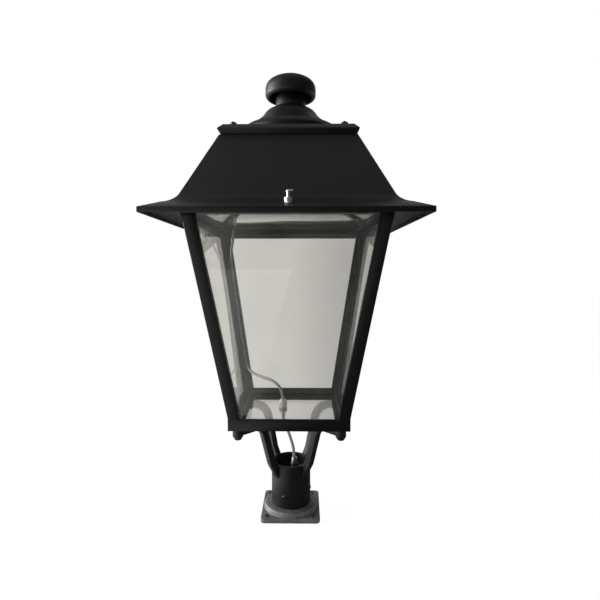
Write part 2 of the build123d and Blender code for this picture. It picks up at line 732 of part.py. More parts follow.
def finial_cap():
    """Hollow domed cap with its edge rolled under, open below, and a central boss that takes the stud."""
    reach = CAP_R - CAP_SHOULDER
    crown_r = (reach**2 + CAP_DOME**2 - CAP_SHOULDER**2) / (2 * (CAP_DOME - CAP_SHOULDER))
    joint = degrees(atan2(crown_r - CAP_DOME, reach))

    def dome(inset, end):
        """The oval's shoulder and crown arcs, up to the given angle of the crown."""
        shoulder = CenterArc((reach, cap_spring), CAP_SHOULDER - inset, 0, joint)
        crown = CenterArc((0, cap_spring + CAP_DOME - crown_r), crown_r - inset, joint, end - joint)
        return [shoulder, crown]

    inner_r, hole_r, boss_low = CAP_R - CAP_WALL, CAP_STUD_R + SNUG, neck_top + SEAT
    lip_at = (CAP_R - CAP_LIP, cap_lip_top)
    ceiling = dome(CAP_WALL, degrees(acos(CAP_BOSS_R / (crown_r - CAP_WALL))))
    outline = [
        CenterArc(lip_at, CAP_LIP, -90, 90),
        Line((CAP_R, cap_lip_top), (CAP_R, cap_spring)),
        *dome(0, 90),
        Polyline((0, cap_spring + CAP_DOME), (0, stud_top + SNUG), (hole_r, stud_top + SNUG),
                 (hole_r, boss_low), (CAP_BOSS_R, boss_low), ceiling[-1] @ 1),
        *ceiling,
        Line((inner_r, cap_spring), (inner_r, cap_lip_top)),
        CenterArc(lip_at, CAP_LIP - CAP_WALL, -90, 90),
        Line((CAP_R - CAP_LIP, cap_rim), (CAP_R - CAP_LIP, cap_rim + CAP_WALL)),
    ]
    return revolve(Plane.XZ * make_face(outline), Axis.Z)


# ---------------------------------------------------------------- hinge and latch
def hinge_places():
    return grid(2, HINGE_APART)


def along_x(radius, length, x=0.0):
    """A cylinder on the hinge's line."""
    return Pos(x, hinge_out, hinge_z) * Rot(0, 90, 0) * Cylinder(radius, length)


def hinge_bracket():
    """Cage half of one hinge: a plate on the rear rail and the middle knuckle."""
    low, high = top_rail_low + HINGE_PLATE, cage_top - SEAT
    inside = HINGE_KNUCKLE_R - SEAT
    section = polygon((cage_half(low), low), (cage_half(high), high), (hinge_out, hinge_z + inside),
                      (hinge_out, hinge_z - inside), (cage_half(low) + HINGE_PLATE, low))
    web = extrude(Plane.YZ * section, HINGE_MIDDLE / 2, both=True)
    bracket = web + along_x(HINGE_KNUCKLE_R, HINGE_MIDDLE)
    return bracket - along_x(HINGE_PIN_R + RUNNING, HINGE_MIDDLE)


def hinge_leaf():
    """Roof half of one hinge: outer knuckles, a web behind them and a flange under the brim."""

    def underside(out):
        return brim_top + (brim_half - out) * brim_slope - SHEET * sqrt(1 + brim_slope**2) - SNUG

    start = flare_end_half + HINGE_PLATE
    end = flare_end_half + HINGE_LEAF_REACH
    thick = HINGE_PLATE
    back = hinge_out + HINGE_KNUCKLE_R
    section = polygon((hinge_out, hinge_z), (hinge_out, hinge_z + HINGE_KNUCKLE_R),
                      (start, underside(start)), (end, underside(end)), (end, underside(end) - thick),
                      (back + thick * 2, underside(end) - thick), (back, hinge_z))
    leaf = extrude(Plane.YZ * section, HINGE_LENGTH / 2, both=True)
    leaf += along_x(HINGE_KNUCKLE_R, HINGE_LENGTH)
    gap = HINGE_MIDDLE + 4 * SEAT
    leaf -= along_x(HINGE_KNUCKLE_R + 2 * SEAT, gap)
    return leaf - along_x(HINGE_PIN_R + RUNNING, HINGE_LENGTH)


def hinge_pin():
    head = HINGE_PIN_HEAD
    pin = along_x(HINGE_PIN_R, HINGE_LENGTH + 2 * head)
    head_x = (HINGE_LENGTH + head + SEAT) / 2
    heads = [along_x(HINGE_PIN_HEAD_R, head - SEAT, side * head_x) for side in (-1, 1)]
    return pin + heads[0] + heads[1]


def latch_keeper():
    """Bracket on the front rail's edge whose lip holds the turned cam down."""
    low = top_ledge_low
    high = keeper_low + KEEPER_THICK
    face_low, face_high = -cage_half(low), -cage_half(cage_top)
    section = polygon((face_low, low), (face_high, cage_top), (face_high, high),
                      (face_high - KEEPER_REACH, high), (face_high - KEEPER_REACH, keeper_low),
                      (face_high - KEEPER_THICK, keeper_low), (face_low - KEEPER_THICK, low))
    return Pos(LATCH_X, 0, 0) * extrude(Plane.YZ * section, KEEPER_WIDTH / 2, both=True)


def latch_housing():
    """Bush through the brim that guides the stem."""
    x, y = LATCH_X, -latch_out
    low = latch_seat - SHEET * 2 - LATCH_BUSH_RISE
    high = latch_seat + 2 * LATCH_BUSH_RISE
    outside = polygon((-brim_half, brim_top + SNUG), (-flare_end_half, flare_end_z + SNUG),
                      (-flare_end_half, high), (-brim_half, high))
    over_sheet = extrude(Plane.YZ * outside, 2 * LATCH_BUSH_R, both=True)
    collar = rod(LATCH_BUSH_R, low, high, 0, y) & over_sheet
    bush = Pos(x, 0, 0) * (collar + rod(LATCH_NECK_R, low, high, 0, y))
    return bush - rod(LATCH_STEM_R + RUNNING, low, high, x, y)


def latch_handle():
    """Stem with a flat lever to one side of its top."""
    x, y = LATCH_X, -latch_out
    top = latch_seat + LATCH_STEM_RISE
    stem = rod(LATCH_STEM_R, cam_top - LATCH_CAM_THICK, top, x, y)
    length = LATCH_STEM_R + LATCH_LEVER_REACH
    middle = x + length / 2 - LATCH_STEM_R
    lever = block(length, LATCH_LEVER_WIDTH, top, top + LATCH_LEVER_THICK, middle, y)
    return stem + lever


def latch_cam():
    x, y = LATCH_X, -latch_out
    low, high = cam_top - LATCH_CAM_THICK, cam_top
    back = LATCH_CAM_WIDTH / 2
    cam = block(LATCH_CAM_REACH + back, LATCH_CAM_WIDTH, low, high, x + (LATCH_CAM_REACH - back) / 2, y)
    return cam - rod(LATCH_STEM_R + RUNNING, low, high, x, y)


# ---------------------------------------------------------------- supply cable
def corner_line(z):
    """The cable's place in the back left corner of the cage at height z."""
    out = cage_half(z) - CABLE_INSET
    return (-out, out, z)


# From the hub's gland up through the bottom pane, over to the back left post, up that post and into the
# terminal block
CABLE_ROUTE = [
    (HUB_GLAND_X, 0, web_low),
    (HUB_GLAND_X, 0, web_top + HUB_GLAND_HEIGHT + 10),
    (1, 3, CAGE_FOOT_Z - 61),
    (-8, 8, CAGE_FOOT_Z - 38),
    (*PANE_GLAND_AT, CAGE_FOOT_Z - 17),
    (*PANE_GLAND_AT, CAGE_FOOT_Z + 33),
    (-26, 24, CAGE_FOOT_Z + 49),
    (-43, 41, CAGE_FOOT_Z + 57),
    (-66, 64, CAGE_FOOT_Z + 58),
    (-86, 85, CAGE_FOOT_Z + 60),
    (-101, 101, CAGE_FOOT_Z + 68),
    corner_line(CAGE_FOOT_Z + 93),
    corner_line(cage_top - 68),
    (-grommet_out, grommet_out, cage_top - 19),
    (-grommet_out, grommet_out, cage_top + 28),
    (-132, 132, cage_top + 45),
    (-122, 121, cage_top + 56),
    (-108, 109, block_entry_z),
    (-91, 103, block_entry_z),
    (BLOCK_ENTRY[0] + BLOCK_ENTRY_DEPTH, BLOCK_ENTRY[1], block_entry_z),
]


def supply_cable():
    points = [Vector(*point) for point in CABLE_ROUTE]
    radii = []
    for before, here, after in zip(points, points[1:], points[2:]):
        turn = radians((here - before).get_angle(after - here))
        shorter = min((here - before).length, (after - here).length)
        radii.append(CABLE_BEND_SHARE * shorter / tan(turn / 2))
    path = FilletPolyline(*points, radius=radii)
    cable = sweep(Plane(path @ 0, z_dir=path % 0) * Circle(CABLE_R), path)
    print("cable radii", [round(radius, 1) for radius in radii])
    section = Circle(CABLE_R).area
    print("cable volume", round(cable.volume), "section times length", round(section * path.length),
          "length", round(path.length))
    return cable


def gland(radius, thread_r, low, seat, high, x, y):
    """A cable gland: a hexagon on its seat, a domed nut above it and a thread down through the seat."""
    dome_low = seat + (high - seat) * GLAND_HEXAGON_SHARE
    foot_share, top_share = GLAND_DOME_SHARES
    body = hexagon(radius, seat, dome_low, x, y)
    dome = Cone(radius * foot_share, radius * top_share, high - dome_low)
    body += Pos(x, y, (dome_low + high) / 2) * dome
    body += rod(thread_r, low, seat, x, y)
    return body - rod(CABLE_R + SNUG, low, high, x, y)


def hub_gland():
    return gland(HUB_GLAND_R, HUB_GLAND_R / 2, web_low, web_top, web_top + HUB_GLAND_HEIGHT, HUB_GLAND_X, 0)


def pane_gland():
    low = bottom_glass_low - GLAND_NUT - PANE_GLAND_TAIL
    high = bottom_glass_top + PANE_GLAND_HEIGHT
    return gland(PANE_GLAND_R, PANE_GLAND_THREAD_R, low, bottom_glass_top, high, *PANE_GLAND_AT)


def gland_nut():
    low = bottom_glass_low - GLAND_NUT
    nut = hexagon(GLAND_NUT_R, low, bottom_glass_low, *PANE_GLAND_AT)
    return nut - rod(PANE_GLAND_THREAD_R + SNUG, low, bottom_glass_low, *PANE_GLAND_AT)


def cable_clips():
    clips = []
    for share in CABLE_CLIP_SHARES:
        z = CAGE_FOOT_Z + share * CAGE_HEIGHT
        across_cable = Plane(corner_line(z), z_dir=Vector(*corner_line(z + 1)) - Vector(*corner_line(z)))
        ring = Circle(CABLE_R + SNUG + CABLE_CLIP_WALL) - Circle(CABLE_R + SNUG)
        clips.append(extrude(across_cable * ring, CABLE_CLIP_LENGTH / 2, both=True))
    return clips


def cable_grommet():
    x, y = -grommet_out, grommet_out
    low, high = ceiling_low - SNUG, tray_deck + SNUG
    body = rod(GROMMET_NECK_R, low, high, x, y)
    body += rod(GROMMET_COLLAR_R, low - GROMMET_COLLAR, low, x, y)
    body += rod(GROMMET_COLLAR_R, high, high + GROMMET_COLLAR, x, y)
    return body - rod(CABLE_R + SNUG, low - GROMMET_COLLAR, high + GROMMET_COLLAR, x, y)


# ---------------------------------------------------------------- every piece, written as its own file
os.makedirs("parts", exist_ok=True)

save("post_flange", post_flange())
save("hub_collar", hub_collar())
save("grub_screws", *[grub_screw(angle) for angle in GRUB_ANGLES])
save("arm_bolts", *[turned(first_corner + angle, arm_bolt()) for angle in CORNERS.values()])
for name, angle in CORNERS.items():
    save(f"support_arm_{name}", turned(first_corner + angle, support_arm()))
for name, post in corner_posts().items():
    save(f"corner_post_{name}", post)
for name, angle in SIDES.items():
    save(f"bottom_rail_{name}", bottom_rail(angle))
    save(f"top_rail_{name}", top_rail(name))
    save(f"pane_{name}", turned(angle, side_pane()))
    save(f"glazing_bead_{name}", *glazing_bead(name))
save("pane_bottom", bottom_pane())

save("cover_gasket", *cover_gasket())
save("ceiling_glass", ceiling_glass())
save("gear_tray", gear_tray())
save("tray_screws", *tray_screws())
save("roof_seal", *roof_seal())
save("led_board", led_board())
save("led_lenses", *led_lenses())
save("reflector", *reflector())
save("heat_sink", heat_sink())
save("driver", driver())
save("terminal_block", terminal_block())

save("supply_cable", supply_cable())
save("hub_gland", hub_gland())
save("pane_gland", pane_gland())
save("gland_nut", gland_nut())
save("cable_clips", *cable_clips())
save("cable_grommet", cable_grommet())

save("hinge_bracket", *[Pos(x, 0, 0) * hinge_bracket() for x in hinge_places()])
save("hinge_pins", *[Pos(x, 0, 0) * hinge_pin() for x in hinge_places()])
save("latch_keeper", latch_keeper())

save("roof_shell", roof_shell())
save("roof_frame", *roof_frame())
save("crown_plate", crown_plate())
save("crown_bolts", *crown_bolts())
save("chimney_bell", chimney_bell())
save("cap_stud", cap_stud())
save("finial_cap", finial_cap())
save("hinge_leaf", *[Pos(x, 0, 0) * hinge_leaf() for x in hinge_places()])
save("latch_housing", latch_housing())
save("latch_handle", latch_handle())
save("latch_cam", latch_cam())
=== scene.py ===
import json
import math

import bmesh
import bpy
from mathutils import Matrix, Vector

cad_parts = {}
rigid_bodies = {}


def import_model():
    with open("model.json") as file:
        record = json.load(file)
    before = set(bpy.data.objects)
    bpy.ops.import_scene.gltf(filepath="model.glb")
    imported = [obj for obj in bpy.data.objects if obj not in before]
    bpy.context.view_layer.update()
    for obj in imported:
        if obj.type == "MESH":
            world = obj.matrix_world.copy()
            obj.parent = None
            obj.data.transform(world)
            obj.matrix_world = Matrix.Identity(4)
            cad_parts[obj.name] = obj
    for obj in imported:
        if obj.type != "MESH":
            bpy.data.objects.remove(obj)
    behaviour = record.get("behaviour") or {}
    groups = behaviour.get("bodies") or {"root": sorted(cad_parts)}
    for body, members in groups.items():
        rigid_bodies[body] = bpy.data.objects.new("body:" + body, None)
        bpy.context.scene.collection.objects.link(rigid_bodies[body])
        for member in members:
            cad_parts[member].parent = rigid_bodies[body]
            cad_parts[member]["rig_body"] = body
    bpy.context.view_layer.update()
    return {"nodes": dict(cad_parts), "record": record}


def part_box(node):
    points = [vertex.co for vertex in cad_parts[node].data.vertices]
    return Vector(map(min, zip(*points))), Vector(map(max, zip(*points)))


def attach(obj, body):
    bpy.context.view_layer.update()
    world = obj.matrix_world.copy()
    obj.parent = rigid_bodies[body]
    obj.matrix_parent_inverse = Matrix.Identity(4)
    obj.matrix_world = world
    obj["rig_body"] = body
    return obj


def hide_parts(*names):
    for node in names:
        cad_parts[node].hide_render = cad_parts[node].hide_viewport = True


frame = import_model()
nodes = frame["nodes"]
scene = bpy.context.scene

MM = 0.001
SIDES = ("front", "right", "back", "left")
CORNERS = ("front_left", "front_right", "back_right", "back_left")
SLOT_OF = {part["node"]: part["material_slot"] for part in frame["record"]["subparts"]}


# ------------------------------ camera
CAMERA_AT = (0.0295, -0.8875, 0.4888)
CAMERA_YAW, CAMERA_PITCH = 0.0124, -0.061
CAMERA_LENS = 26.35


def make_camera():
    bpy.ops.object.camera_add(location=CAMERA_AT, rotation=(math.pi / 2 + CAMERA_PITCH, 0, CAMERA_YAW))
    camera = bpy.context.object
    camera.data.lens = CAMERA_LENS
    camera.data.sensor_width = 36
    camera.data.clip_start, camera.data.clip_end = 0.02, 60
    scene.camera = camera


make_camera()


# ------------------------------ shader maths
class Value:
    """A socket, or a plain number, that takes part in sums written as Python expressions."""

    def __init__(self, paint, socket):
        self.paint, self.socket = paint, socket

    def sum(self, operation, *others, **settings):
        return self.paint.node("ShaderNodeMath", {"operation": operation, **settings}, self, *others)

    def __add__(self, other):
        return self.sum("ADD", other)

    def __sub__(self, other):
        return self.sum("SUBTRACT", other)

    def __rsub__(self, other):
        return self.paint.node("ShaderNodeMath", {"operation": "SUBTRACT"}, other, self)

    def __mul__(self, other):
        return self.sum("MULTIPLY", other)

    def __pow__(self, other):
        return self.sum("POWER", other)

    def clamped(self):
        return self.sum("ADD", 0.0, use_clamp=True)

    def most(self, other):
        return self.sum("MAXIMUM", other)

    __radd__, __rmul__ = __add__, __mul__


class Paint:
    """A material under construction."""

    def __init__(self, name):
        self.material = bpy.data.materials.new(name)
        self.material.use_nodes = True
        self.tree = self.material.node_tree
        self.tree.nodes.clear()

    @classmethod
    def of_tree(cls, tree):
        """The same for a tree that is there already, such as the world's."""
        paint = cls.__new__(cls)
        paint.tree = tree
        tree.nodes.clear()
        return paint

    def node(self, kind, settings=None, *inputs, out=0, **named):
        """Adds a node: its settings first, then values or links by place or by socket name."""
        made = self.tree.nodes.new(kind)
        for key, value in (settings or {}).items():
            if key == "stops":
                ramp = made.color_ramp.elements
                while len(ramp) < len(value):
                    ramp.new(0.5)
                for stop, (place, colour) in zip(ramp, value):
                    stop.position, stop.color = place, (*colour, 1)
            else:
                setattr(made, key, value)
        for key, value in [*enumerate(inputs), *named.items()]:
            socket = made.inputs[key if isinstance(key, int) else key.replace("_", " ")]
            if isinstance(value, Value):
                self.tree.links.new(value.socket, socket)
            elif isinstance(value, tuple) and len(socket.default_value) == 4 and len(value) == 3:
                socket.default_value = (*value, 1)
            else:
                socket.default_value = value
        return Value(self, made.outputs[out])

    def place(self, stretch=(1, 1, 1)):
        """Object coordinates, stretched along the axes."""
        spot = self.node("ShaderNodeTexCoord", out=3)
        return self.node("ShaderNodeMapping", None, spot, Scale=stretch)

    def noise(self, scale, detail=2.0, roughness=0.5, stretch=(1, 1, 1)):
        return self.node("ShaderNodeTexNoise", None, self.place(stretch), Scale=scale, Detail=detail,
                         Roughness=roughness)

    def ramp(self, value, low, high):
        """Value taken from low..high to 0..1, smoothly."""
        smooth = {"interpolation_type": "SMOOTHSTEP"}
        return self.node("ShaderNodeMapRange", smooth, value, low, high, 0.0, 1.0)

    def mix(self, share, first, second):
        """A blend of two colours."""
        made = self.tree.nodes.new("ShaderNodeMix")
        made.data_type = "RGBA"
        for socket, value in ((made.inputs[0], share), (made.inputs[6], first), (made.inputs[7], second)):
            if isinstance(value, Value):
                self.tree.links.new(value.socket, socket)
            elif isinstance(value, tuple):
                socket.default_value = (*value, 1)
            else:
                socket.default_value = value
        return Value(self, made.outputs[2])

    def upward(self):
        """How far the surface faces up, from -1 to 1."""
        normal = self.node("ShaderNodeNewGeometry", out=1)
        return self.node("ShaderNodeSeparateXYZ", None, normal, out=2)

    def bump(self, height, depth, strength=1.0):
        return self.node("ShaderNodeBump", None, Height=height, Distance=depth, Strength=strength)

    def surface(self, **named):
        return self.node("ShaderNodeBsdfPrincipled", None, **named)

    def done(self, shader):
        output = self.tree.nodes.new("ShaderNodeOutputMaterial")
        self.tree.links.new(shader.socket, output.inputs[0])
        return self.material


# ------------------------------ finishes
def powder_coat(name, base=(0.0036, 0.0041, 0.0047), grain=900.0, depth=0.00008, gloss=0.36):
    """Satin black powder coat: orange-peel skin, faint clouds, dust on top and a duller underside."""
    paint = Paint(name)
    cloud = paint.noise(14.0, 4.0, 0.6)
    peel = paint.noise(grain, 2.0)
    dust = paint.ramp(paint.upward(), 0.35, 1.0) * paint.ramp(paint.noise(60.0, 6.0, 0.65), 0.35, 0.8)
    dull = paint.ramp(paint.upward() * -1.0, 0.5, 0.95)
    colour = paint.mix(paint.ramp(cloud, 0.3, 0.75) * 0.5, base, tuple(c * 1.7 for c in base))
    colour = paint.mix(dust * 0.04, colour, (0.16, 0.155, 0.145))
    return paint.done(paint.surface(
        Base_Color=colour,
        Roughness=gloss + cloud * 0.10 + dust * 0.15 + dull * 0.38,
        Normal=paint.bump(peel, depth),
        Specular_IOR_Level=0.32,
    ))


def cast_paint(name):
    """Black paint over a sand casting: a coarser grain with small pits."""
    paint = Paint(name)
    grain = paint.noise(420.0, 3.0, 0.6)
    lumps = paint.noise(60.0, 3.0)
    cloud = paint.ramp(paint.noise(20.0, 5.0, 0.6), 0.3, 0.8)
    dust = paint.ramp(paint.upward(), 0.2, 1.0) * paint.ramp(paint.noise(80.0, 6.0, 0.7), 0.3, 0.8)
    colour = paint.mix(cloud, (0.0060, 0.0063, 0.0066), (0.010, 0.0104, 0.0104))
    colour = paint.mix(dust * 0.06, colour, (0.13, 0.125, 0.115))
    return paint.done(paint.surface(
        Base_Color=colour,
        Roughness=0.44 + cloud * 0.12,
        Normal=paint.bump(grain * 0.4 + lumps, 0.0004, 0.7),
        Specular_IOR_Level=0.4,
    ))


def galvanised(name):
    """Dull zinc with soft spangles, streaked by dirt; its up-facing faces are painted darker as shade."""
    paint = Paint(name)
    spangle = paint.node("ShaderNodeTexVoronoi", None, paint.place(), Scale=110.0, out=1)
    grey = paint.node("ShaderNodeSeparateColor", None, spangle)
    dirt = paint.ramp(paint.noise(28.0, 8.0, 0.7), 0.36, 0.66)
    streak = paint.ramp(paint.noise(90.0, 4.0, 0.6, (1, 1, 0.12)), 0.45, 0.75)
    grain = paint.noise(520.0, 4.0, 0.65)
    painted_shade_top = paint.ramp(paint.upward(), 0.4, 0.95)
    colour = paint.mix(grey * 0.6 + dirt * 0.4, (0.17, 0.172, 0.174), (0.29, 0.292, 0.29))
    # darker: the dirt share is grime, the up-facing share is painted shade on the top faces
    colour = paint.mix(dirt * 0.35 + painted_shade_top * 0.45, colour, (0.045, 0.045, 0.045))
    colour = paint.mix(streak * 0.35, colour, (0.05, 0.043, 0.036))
    return paint.done(paint.surface(
        Base_Color=colour,
        Metallic=0.35,
        Roughness=0.5 + dirt * 0.25,
        Normal=paint.bump(grain + dirt * 0.6, 0.0005, 0.8),
    ))


def zinc_plate(name, base=(0.42, 0.42, 0.41), rough=0.32):
    """Bright plated steel with a slight cloudiness."""
    paint = Paint(name)
    cloud = paint.ramp(paint.noise(160.0, 4.0, 0.6), 0.3, 0.75)
    return paint.done(paint.surface(
        Base_Color=paint.mix(cloud, base, tuple(c * 0.72 for c in base)),
        Metallic=1.0,
        Roughness=rough + cloud * 0.14,
        Normal=paint.bump(paint.noise(900.0), 0.00005),
    ))


def brushed_aluminium(name):
    """Plain extruded aluminium with fine lines along X."""
    paint = Paint(name)
    lines = paint.noise(500.0, 3.0, 0.6, (0.02, 1, 1))
    return paint.done(paint.surface(
        Base_Color=paint.mix(paint.ramp(lines, 0.3, 0.7), (0.52, 0.52, 0.53), (0.63, 0.63, 0.64)),
        Metallic=1.0,
        Roughness=0.3 + lines * 0.2,
        Normal=paint.bump(lines, 0.00006),
    ))


def moulded(name, base, rough=0.4, cloudy=0.12, grain=700.0, depth=0.00006, shine=0.5):
    """A moulded plastic or rubber skin: even colour, fine texture and a little grime."""
    paint = Paint(name)
    cloud = paint.ramp(paint.noise(45.0, 5.0, 0.6), 0.3, 0.8)
    return paint.done(paint.surface(
        Base_Color=paint.mix(cloud * cloudy, base, tuple(c * 0.45 for c in base)),
        Roughness=rough + cloud * 0.12,
        Normal=paint.bump(paint.noise(grain), depth),
        Specular_IOR_Level=shine,
    ))


def pane_glass(name, tint=(0.903, 0.898, 0.883), haze=0.02):
    """Float glass: a smoky tint at each face, darkened further towards +X as painted shade, a mirror that
    grows at a slant, and a film of dust.
    """
    paint = Paint(name)
    slant = paint.node("ShaderNodeLayerWeight", None, Blend=0.5, out=1)
    mirror = slant**3.6 * 0.96 + 0.04
    cloud = paint.ramp(paint.noise(9.0, 6.0, 0.65), 0.35, 0.8)
    across = paint.node("ShaderNodeSeparateXYZ", None, paint.place(), out=0)
    unshaded_through = paint.node("ShaderNodeBsdfTransparent", None, Color=tint)
    # painted shade: the tint darkens towards +X, where the right side of the lantern lies in shade
    painted_shade_right = paint.node("ShaderNodeBsdfTransparent", None, Color=tuple(part * 0.92 for part in tint))
    through = paint.node("ShaderNodeMixShader", None, paint.ramp(across, -0.02, 0.13), unshaded_through, painted_shade_right)
    gloss = paint.node("ShaderNodeBsdfAnisotropic", None, Color=(0.95, 0.95, 0.94), Roughness=0.02)
    film = paint.node("ShaderNodeBsdfDiffuse", None, Color=(0.8, 0.8, 0.77))
    clear = paint.node("ShaderNodeMixShader", None, mirror.clamped(), through, gloss)
    return paint.done(paint.node("ShaderNodeMixShader", None, cloud * haze + haze, clear, film))


def lens_plastic(name):
    """Clear moulded lens over a yellow-white chip."""
    paint = Paint(name)
    glow = paint.ramp(paint.noise(80.0), 0.3, 0.8)
    return paint.done(paint.surface(
        Base_Color=paint.mix(glow, (0.86, 0.86, 0.8), (0.93, 0.93, 0.9)),
        Roughness=0.08 + glow * 0.06,
        Alpha=0.55,
        Normal=paint.bump(paint.noise(200.0), 0.00005),
    ))


def finishes():
    return {
        "black_aluminium": powder_coat("black_powder_coat"),
        "cast_black": cast_paint("black_cast_paint"),
        "galvanised_steel": galvanised("galvanised_zinc"),
        "bright_steel": zinc_plate("zinc_plate"),
        "dark_steel": zinc_plate("weathered_steel", (0.10, 0.10, 0.10), 0.42),
        "chrome": zinc_plate("latch_chrome", (0.82, 0.82, 0.81), 0.2),
        "pane_glass": pane_glass("pane_glass"),
        "grey_rubber": moulded("grey_rubber", (0.05, 0.05, 0.05), 0.62, 0.4),
        "cable_grey": moulded("cable_sheath", (0.30, 0.30, 0.295), 0.42, 0.25, 900.0, 0.00005),
        "white_plastic": moulded("white_nylon", (0.80, 0.80, 0.78), 0.34),
        "gland_grey": moulded("grey_nylon", (0.30, 0.30, 0.30), 0.4),
        "clip_grey": moulded("clip_nylon", (0.16, 0.16, 0.16), 0.45),
        "reflector_white": moulded("reflector_paint", (0.80, 0.80, 0.78), 0.55, 0.06, 400.0, 0.00004, 0.3),
        "lens_plastic": lens_plastic("lens_plastic"),
        "board_white": moulded("board_white", (0.74, 0.74, 0.71), 0.5, 0.08),
        "bare_aluminium": brushed_aluminium("brushed_aluminium"),
    }


FINISH = finishes()


def dress_nodes():
    """Gives every CAD node the finish of its own slot."""
    for part, slot in SLOT_OF.items():
        nodes[part].data.materials.clear()
        nodes[part].data.materials.append(FINISH[slot])


dress_nodes()


# ------------------------------ ways of making a piece; lengths in millimetres
WELD = 0.00001


def only(*pieces):
    """Leaves edit mode and selects just these pieces, the first of them active."""
    if bpy.context.object and bpy.context.object.mode == "EDIT":
        bpy.ops.object.mode_set(mode="OBJECT")
    bpy.ops.object.select_all(action="DESELECT")
    for piece in pieces:
        piece.select_set(True)
    bpy.context.view_layer.objects.active = pieces[0]


def shape(piece):
    """Opens a piece in edit mode with all of it selected."""
    only(piece)
    bpy.ops.object.mode_set(mode="EDIT")
    bpy.ops.mesh.select_all(action="SELECT")


def closed_up(piece):
    """Welds doubles, turns the faces outwards and leaves edit mode."""
    bpy.ops.mesh.select_all(action="SELECT")
    bpy.ops.mesh.remove_doubles(threshold=WELD)
    bpy.ops.mesh.normals_make_consistent(inside=False)
    bpy.ops.object.mode_set(mode="OBJECT")
    return piece


def settled(piece, name):
    """Names a new primitive and puts its place and size into its mesh."""
    only(piece)
    piece.name = name
    bpy.ops.object.transform_apply(location=True, rotation=True, scale=True)
    return piece


def span(node):
    """A CAD node's lowest and highest corners, in millimetres."""
    low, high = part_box(node)
    return low / MM, high / MM


def rounded(*corners, steps=5):
    """An outline through corners, each (out, up) or (out, up, radius of its round)."""
    points = []
    for place, (out, up, *radius) in enumerate(corners):
        here = Vector((out, up))
        if not radius:
            points.append(here)
            continue
        before = (Vector(corners[place - 1][:2]) - here).normalized()
        after = (Vector(corners[(place + 1) % len(corners)][:2]) - here).normalized()
        half_turn = before.angle(after) / 2
        reach = radius[0] / math.tan(half_turn)
        middle = here + (before + after).normalized() * radius[0] / math.sin(half_turn)
        arm = here + before * reach - middle
        swing = -arm.angle_signed(here + after * reach - middle)
        points += [middle + Matrix.Rotation(swing * step / steps, 2) @ arm for step in range(steps + 1)]
    return points


def bowed(start, end, bulge, steps=8):
    """Points between two ends, their middle pushed out to the left of the way by bulge."""
    start, end = Vector(start), Vector(end)
    way = end - start
    left = Vector((-way.y, way.x)).normalized()
    shares = [step / steps for step in range(1, steps)]
    return [start + way * share + left * bulge * 4 * share * (1 - share) for share in shares]


def arc(middle, radius, start, end, steps=10):
    """Points on an arc; angles in degrees, from straight out."""
    turns = [math.radians(start + (end - start) * step / steps) for step in range(steps + 1)]
    return [Vector((middle[0] + radius * math.cos(turn), middle[1] + radius * math.sin(turn)))
            for turn in turns]


def traced(name, outline, depth=0.0):
    """A chain of edges through (out, up) points in the XZ plane, left in edit mode."""
    if bpy.context.object and bpy.context.object.mode == "EDIT":
        bpy.ops.object.mode_set(mode="OBJECT")
    bpy.ops.object.select_all(action="DESELECT")
    bpy.ops.mesh.primitive_plane_add(size=MM)
    piece = bpy.context.object
    piece.name = name
    bpy.ops.object.mode_set(mode="EDIT")
    bpy.ops.mesh.select_mode(type="VERT")
    bpy.ops.mesh.select_all(action="SELECT")
    bpy.ops.mesh.merge(type="CENTER")
    places = [Vector((out, depth, up)) * MM for out, up in outline]
    bpy.ops.transform.translate(value=tuple(places[0]))
    for before, after in zip(places, places[1:]):
        bpy.ops.mesh.extrude_region_move(TRANSFORM_OT_translate={"value": tuple(after - before)})
    bpy.ops.mesh.select_all(action="SELECT")
    return piece


def lathed(name, outline, at=(0.0, 0.0), steps=64):
    """An outline spun round an upright line."""
    piece = traced(name, outline)
    bpy.ops.mesh.spin(steps=steps, angle=2 * math.pi, center=(0, 0, 0), axis=(0, 0, 1))
    bpy.ops.mesh.select_all(action="SELECT")
    bpy.ops.transform.translate(value=(at[0] * MM, at[1] * MM, 0))
    return closed_up(piece)


def ring(name, outline, at=(0.0, 0.0), steps=64):
    """A closed outline spun round an upright line."""
    return lathed(name, [*outline, outline[0]], at, steps)


def sawn(name, outline, thick):
    """A flat plate: a closed outline in (out, up), filled and pulled to its thickness along Y."""
    piece = traced(name, outline, -thick / 2)
    bpy.ops.mesh.edge_face_add()
    bpy.ops.mesh.extrude_region_move(TRANSFORM_OT_translate={"value": (0, thick * MM, 0)})
    return closed_up(piece)


def block(name, low, high):
    low, high = Vector(low) * MM, Vector(high) * MM
    bpy.ops.object.select_all(action="DESELECT")
    bpy.ops.mesh.primitive_cube_add(size=1, location=(low + high) / 2, scale=high - low)
    return settled(bpy.context.object, name)


def rod(name, radius, low, high, at=(0.0, 0.0), sides=32):
    bpy.ops.object.select_all(action="DESELECT")
    bpy.ops.mesh.primitive_cylinder_add(vertices=sides, radius=radius * MM, depth=(high - low) * MM,
                                        location=(at[0] * MM, at[1] * MM, (low + high) / 2 * MM))
    return settled(bpy.context.object, name)


def modified(piece, kind, **settings):
    """Adds a modifier and applies it."""
    only(piece)
    made = piece.modifiers.new(kind.lower(), kind)
    for key, value in settings.items():
        setattr(made, key, value)
    bpy.ops.object.modifier_apply(modifier=made.name)
    return piece


def softened(piece, width, segments=2, angle=30):
    """Rounds the edges that turn by more than an angle."""
    return modified(piece, "BEVEL", width=width * MM, segments=segments, limit_method="ANGLE",
                    angle_limit=math.radians(angle))


def combined(piece, *others, operation="UNION"):
    for other in others:
        modified(piece, "BOOLEAN", operation=operation, object=other, solver="EXACT")
        bpy.data.objects.remove(other)
    return piece


def joined(piece, *others):
    only(piece, *others)
    if others:
        bpy.ops.object.join()
    return piece


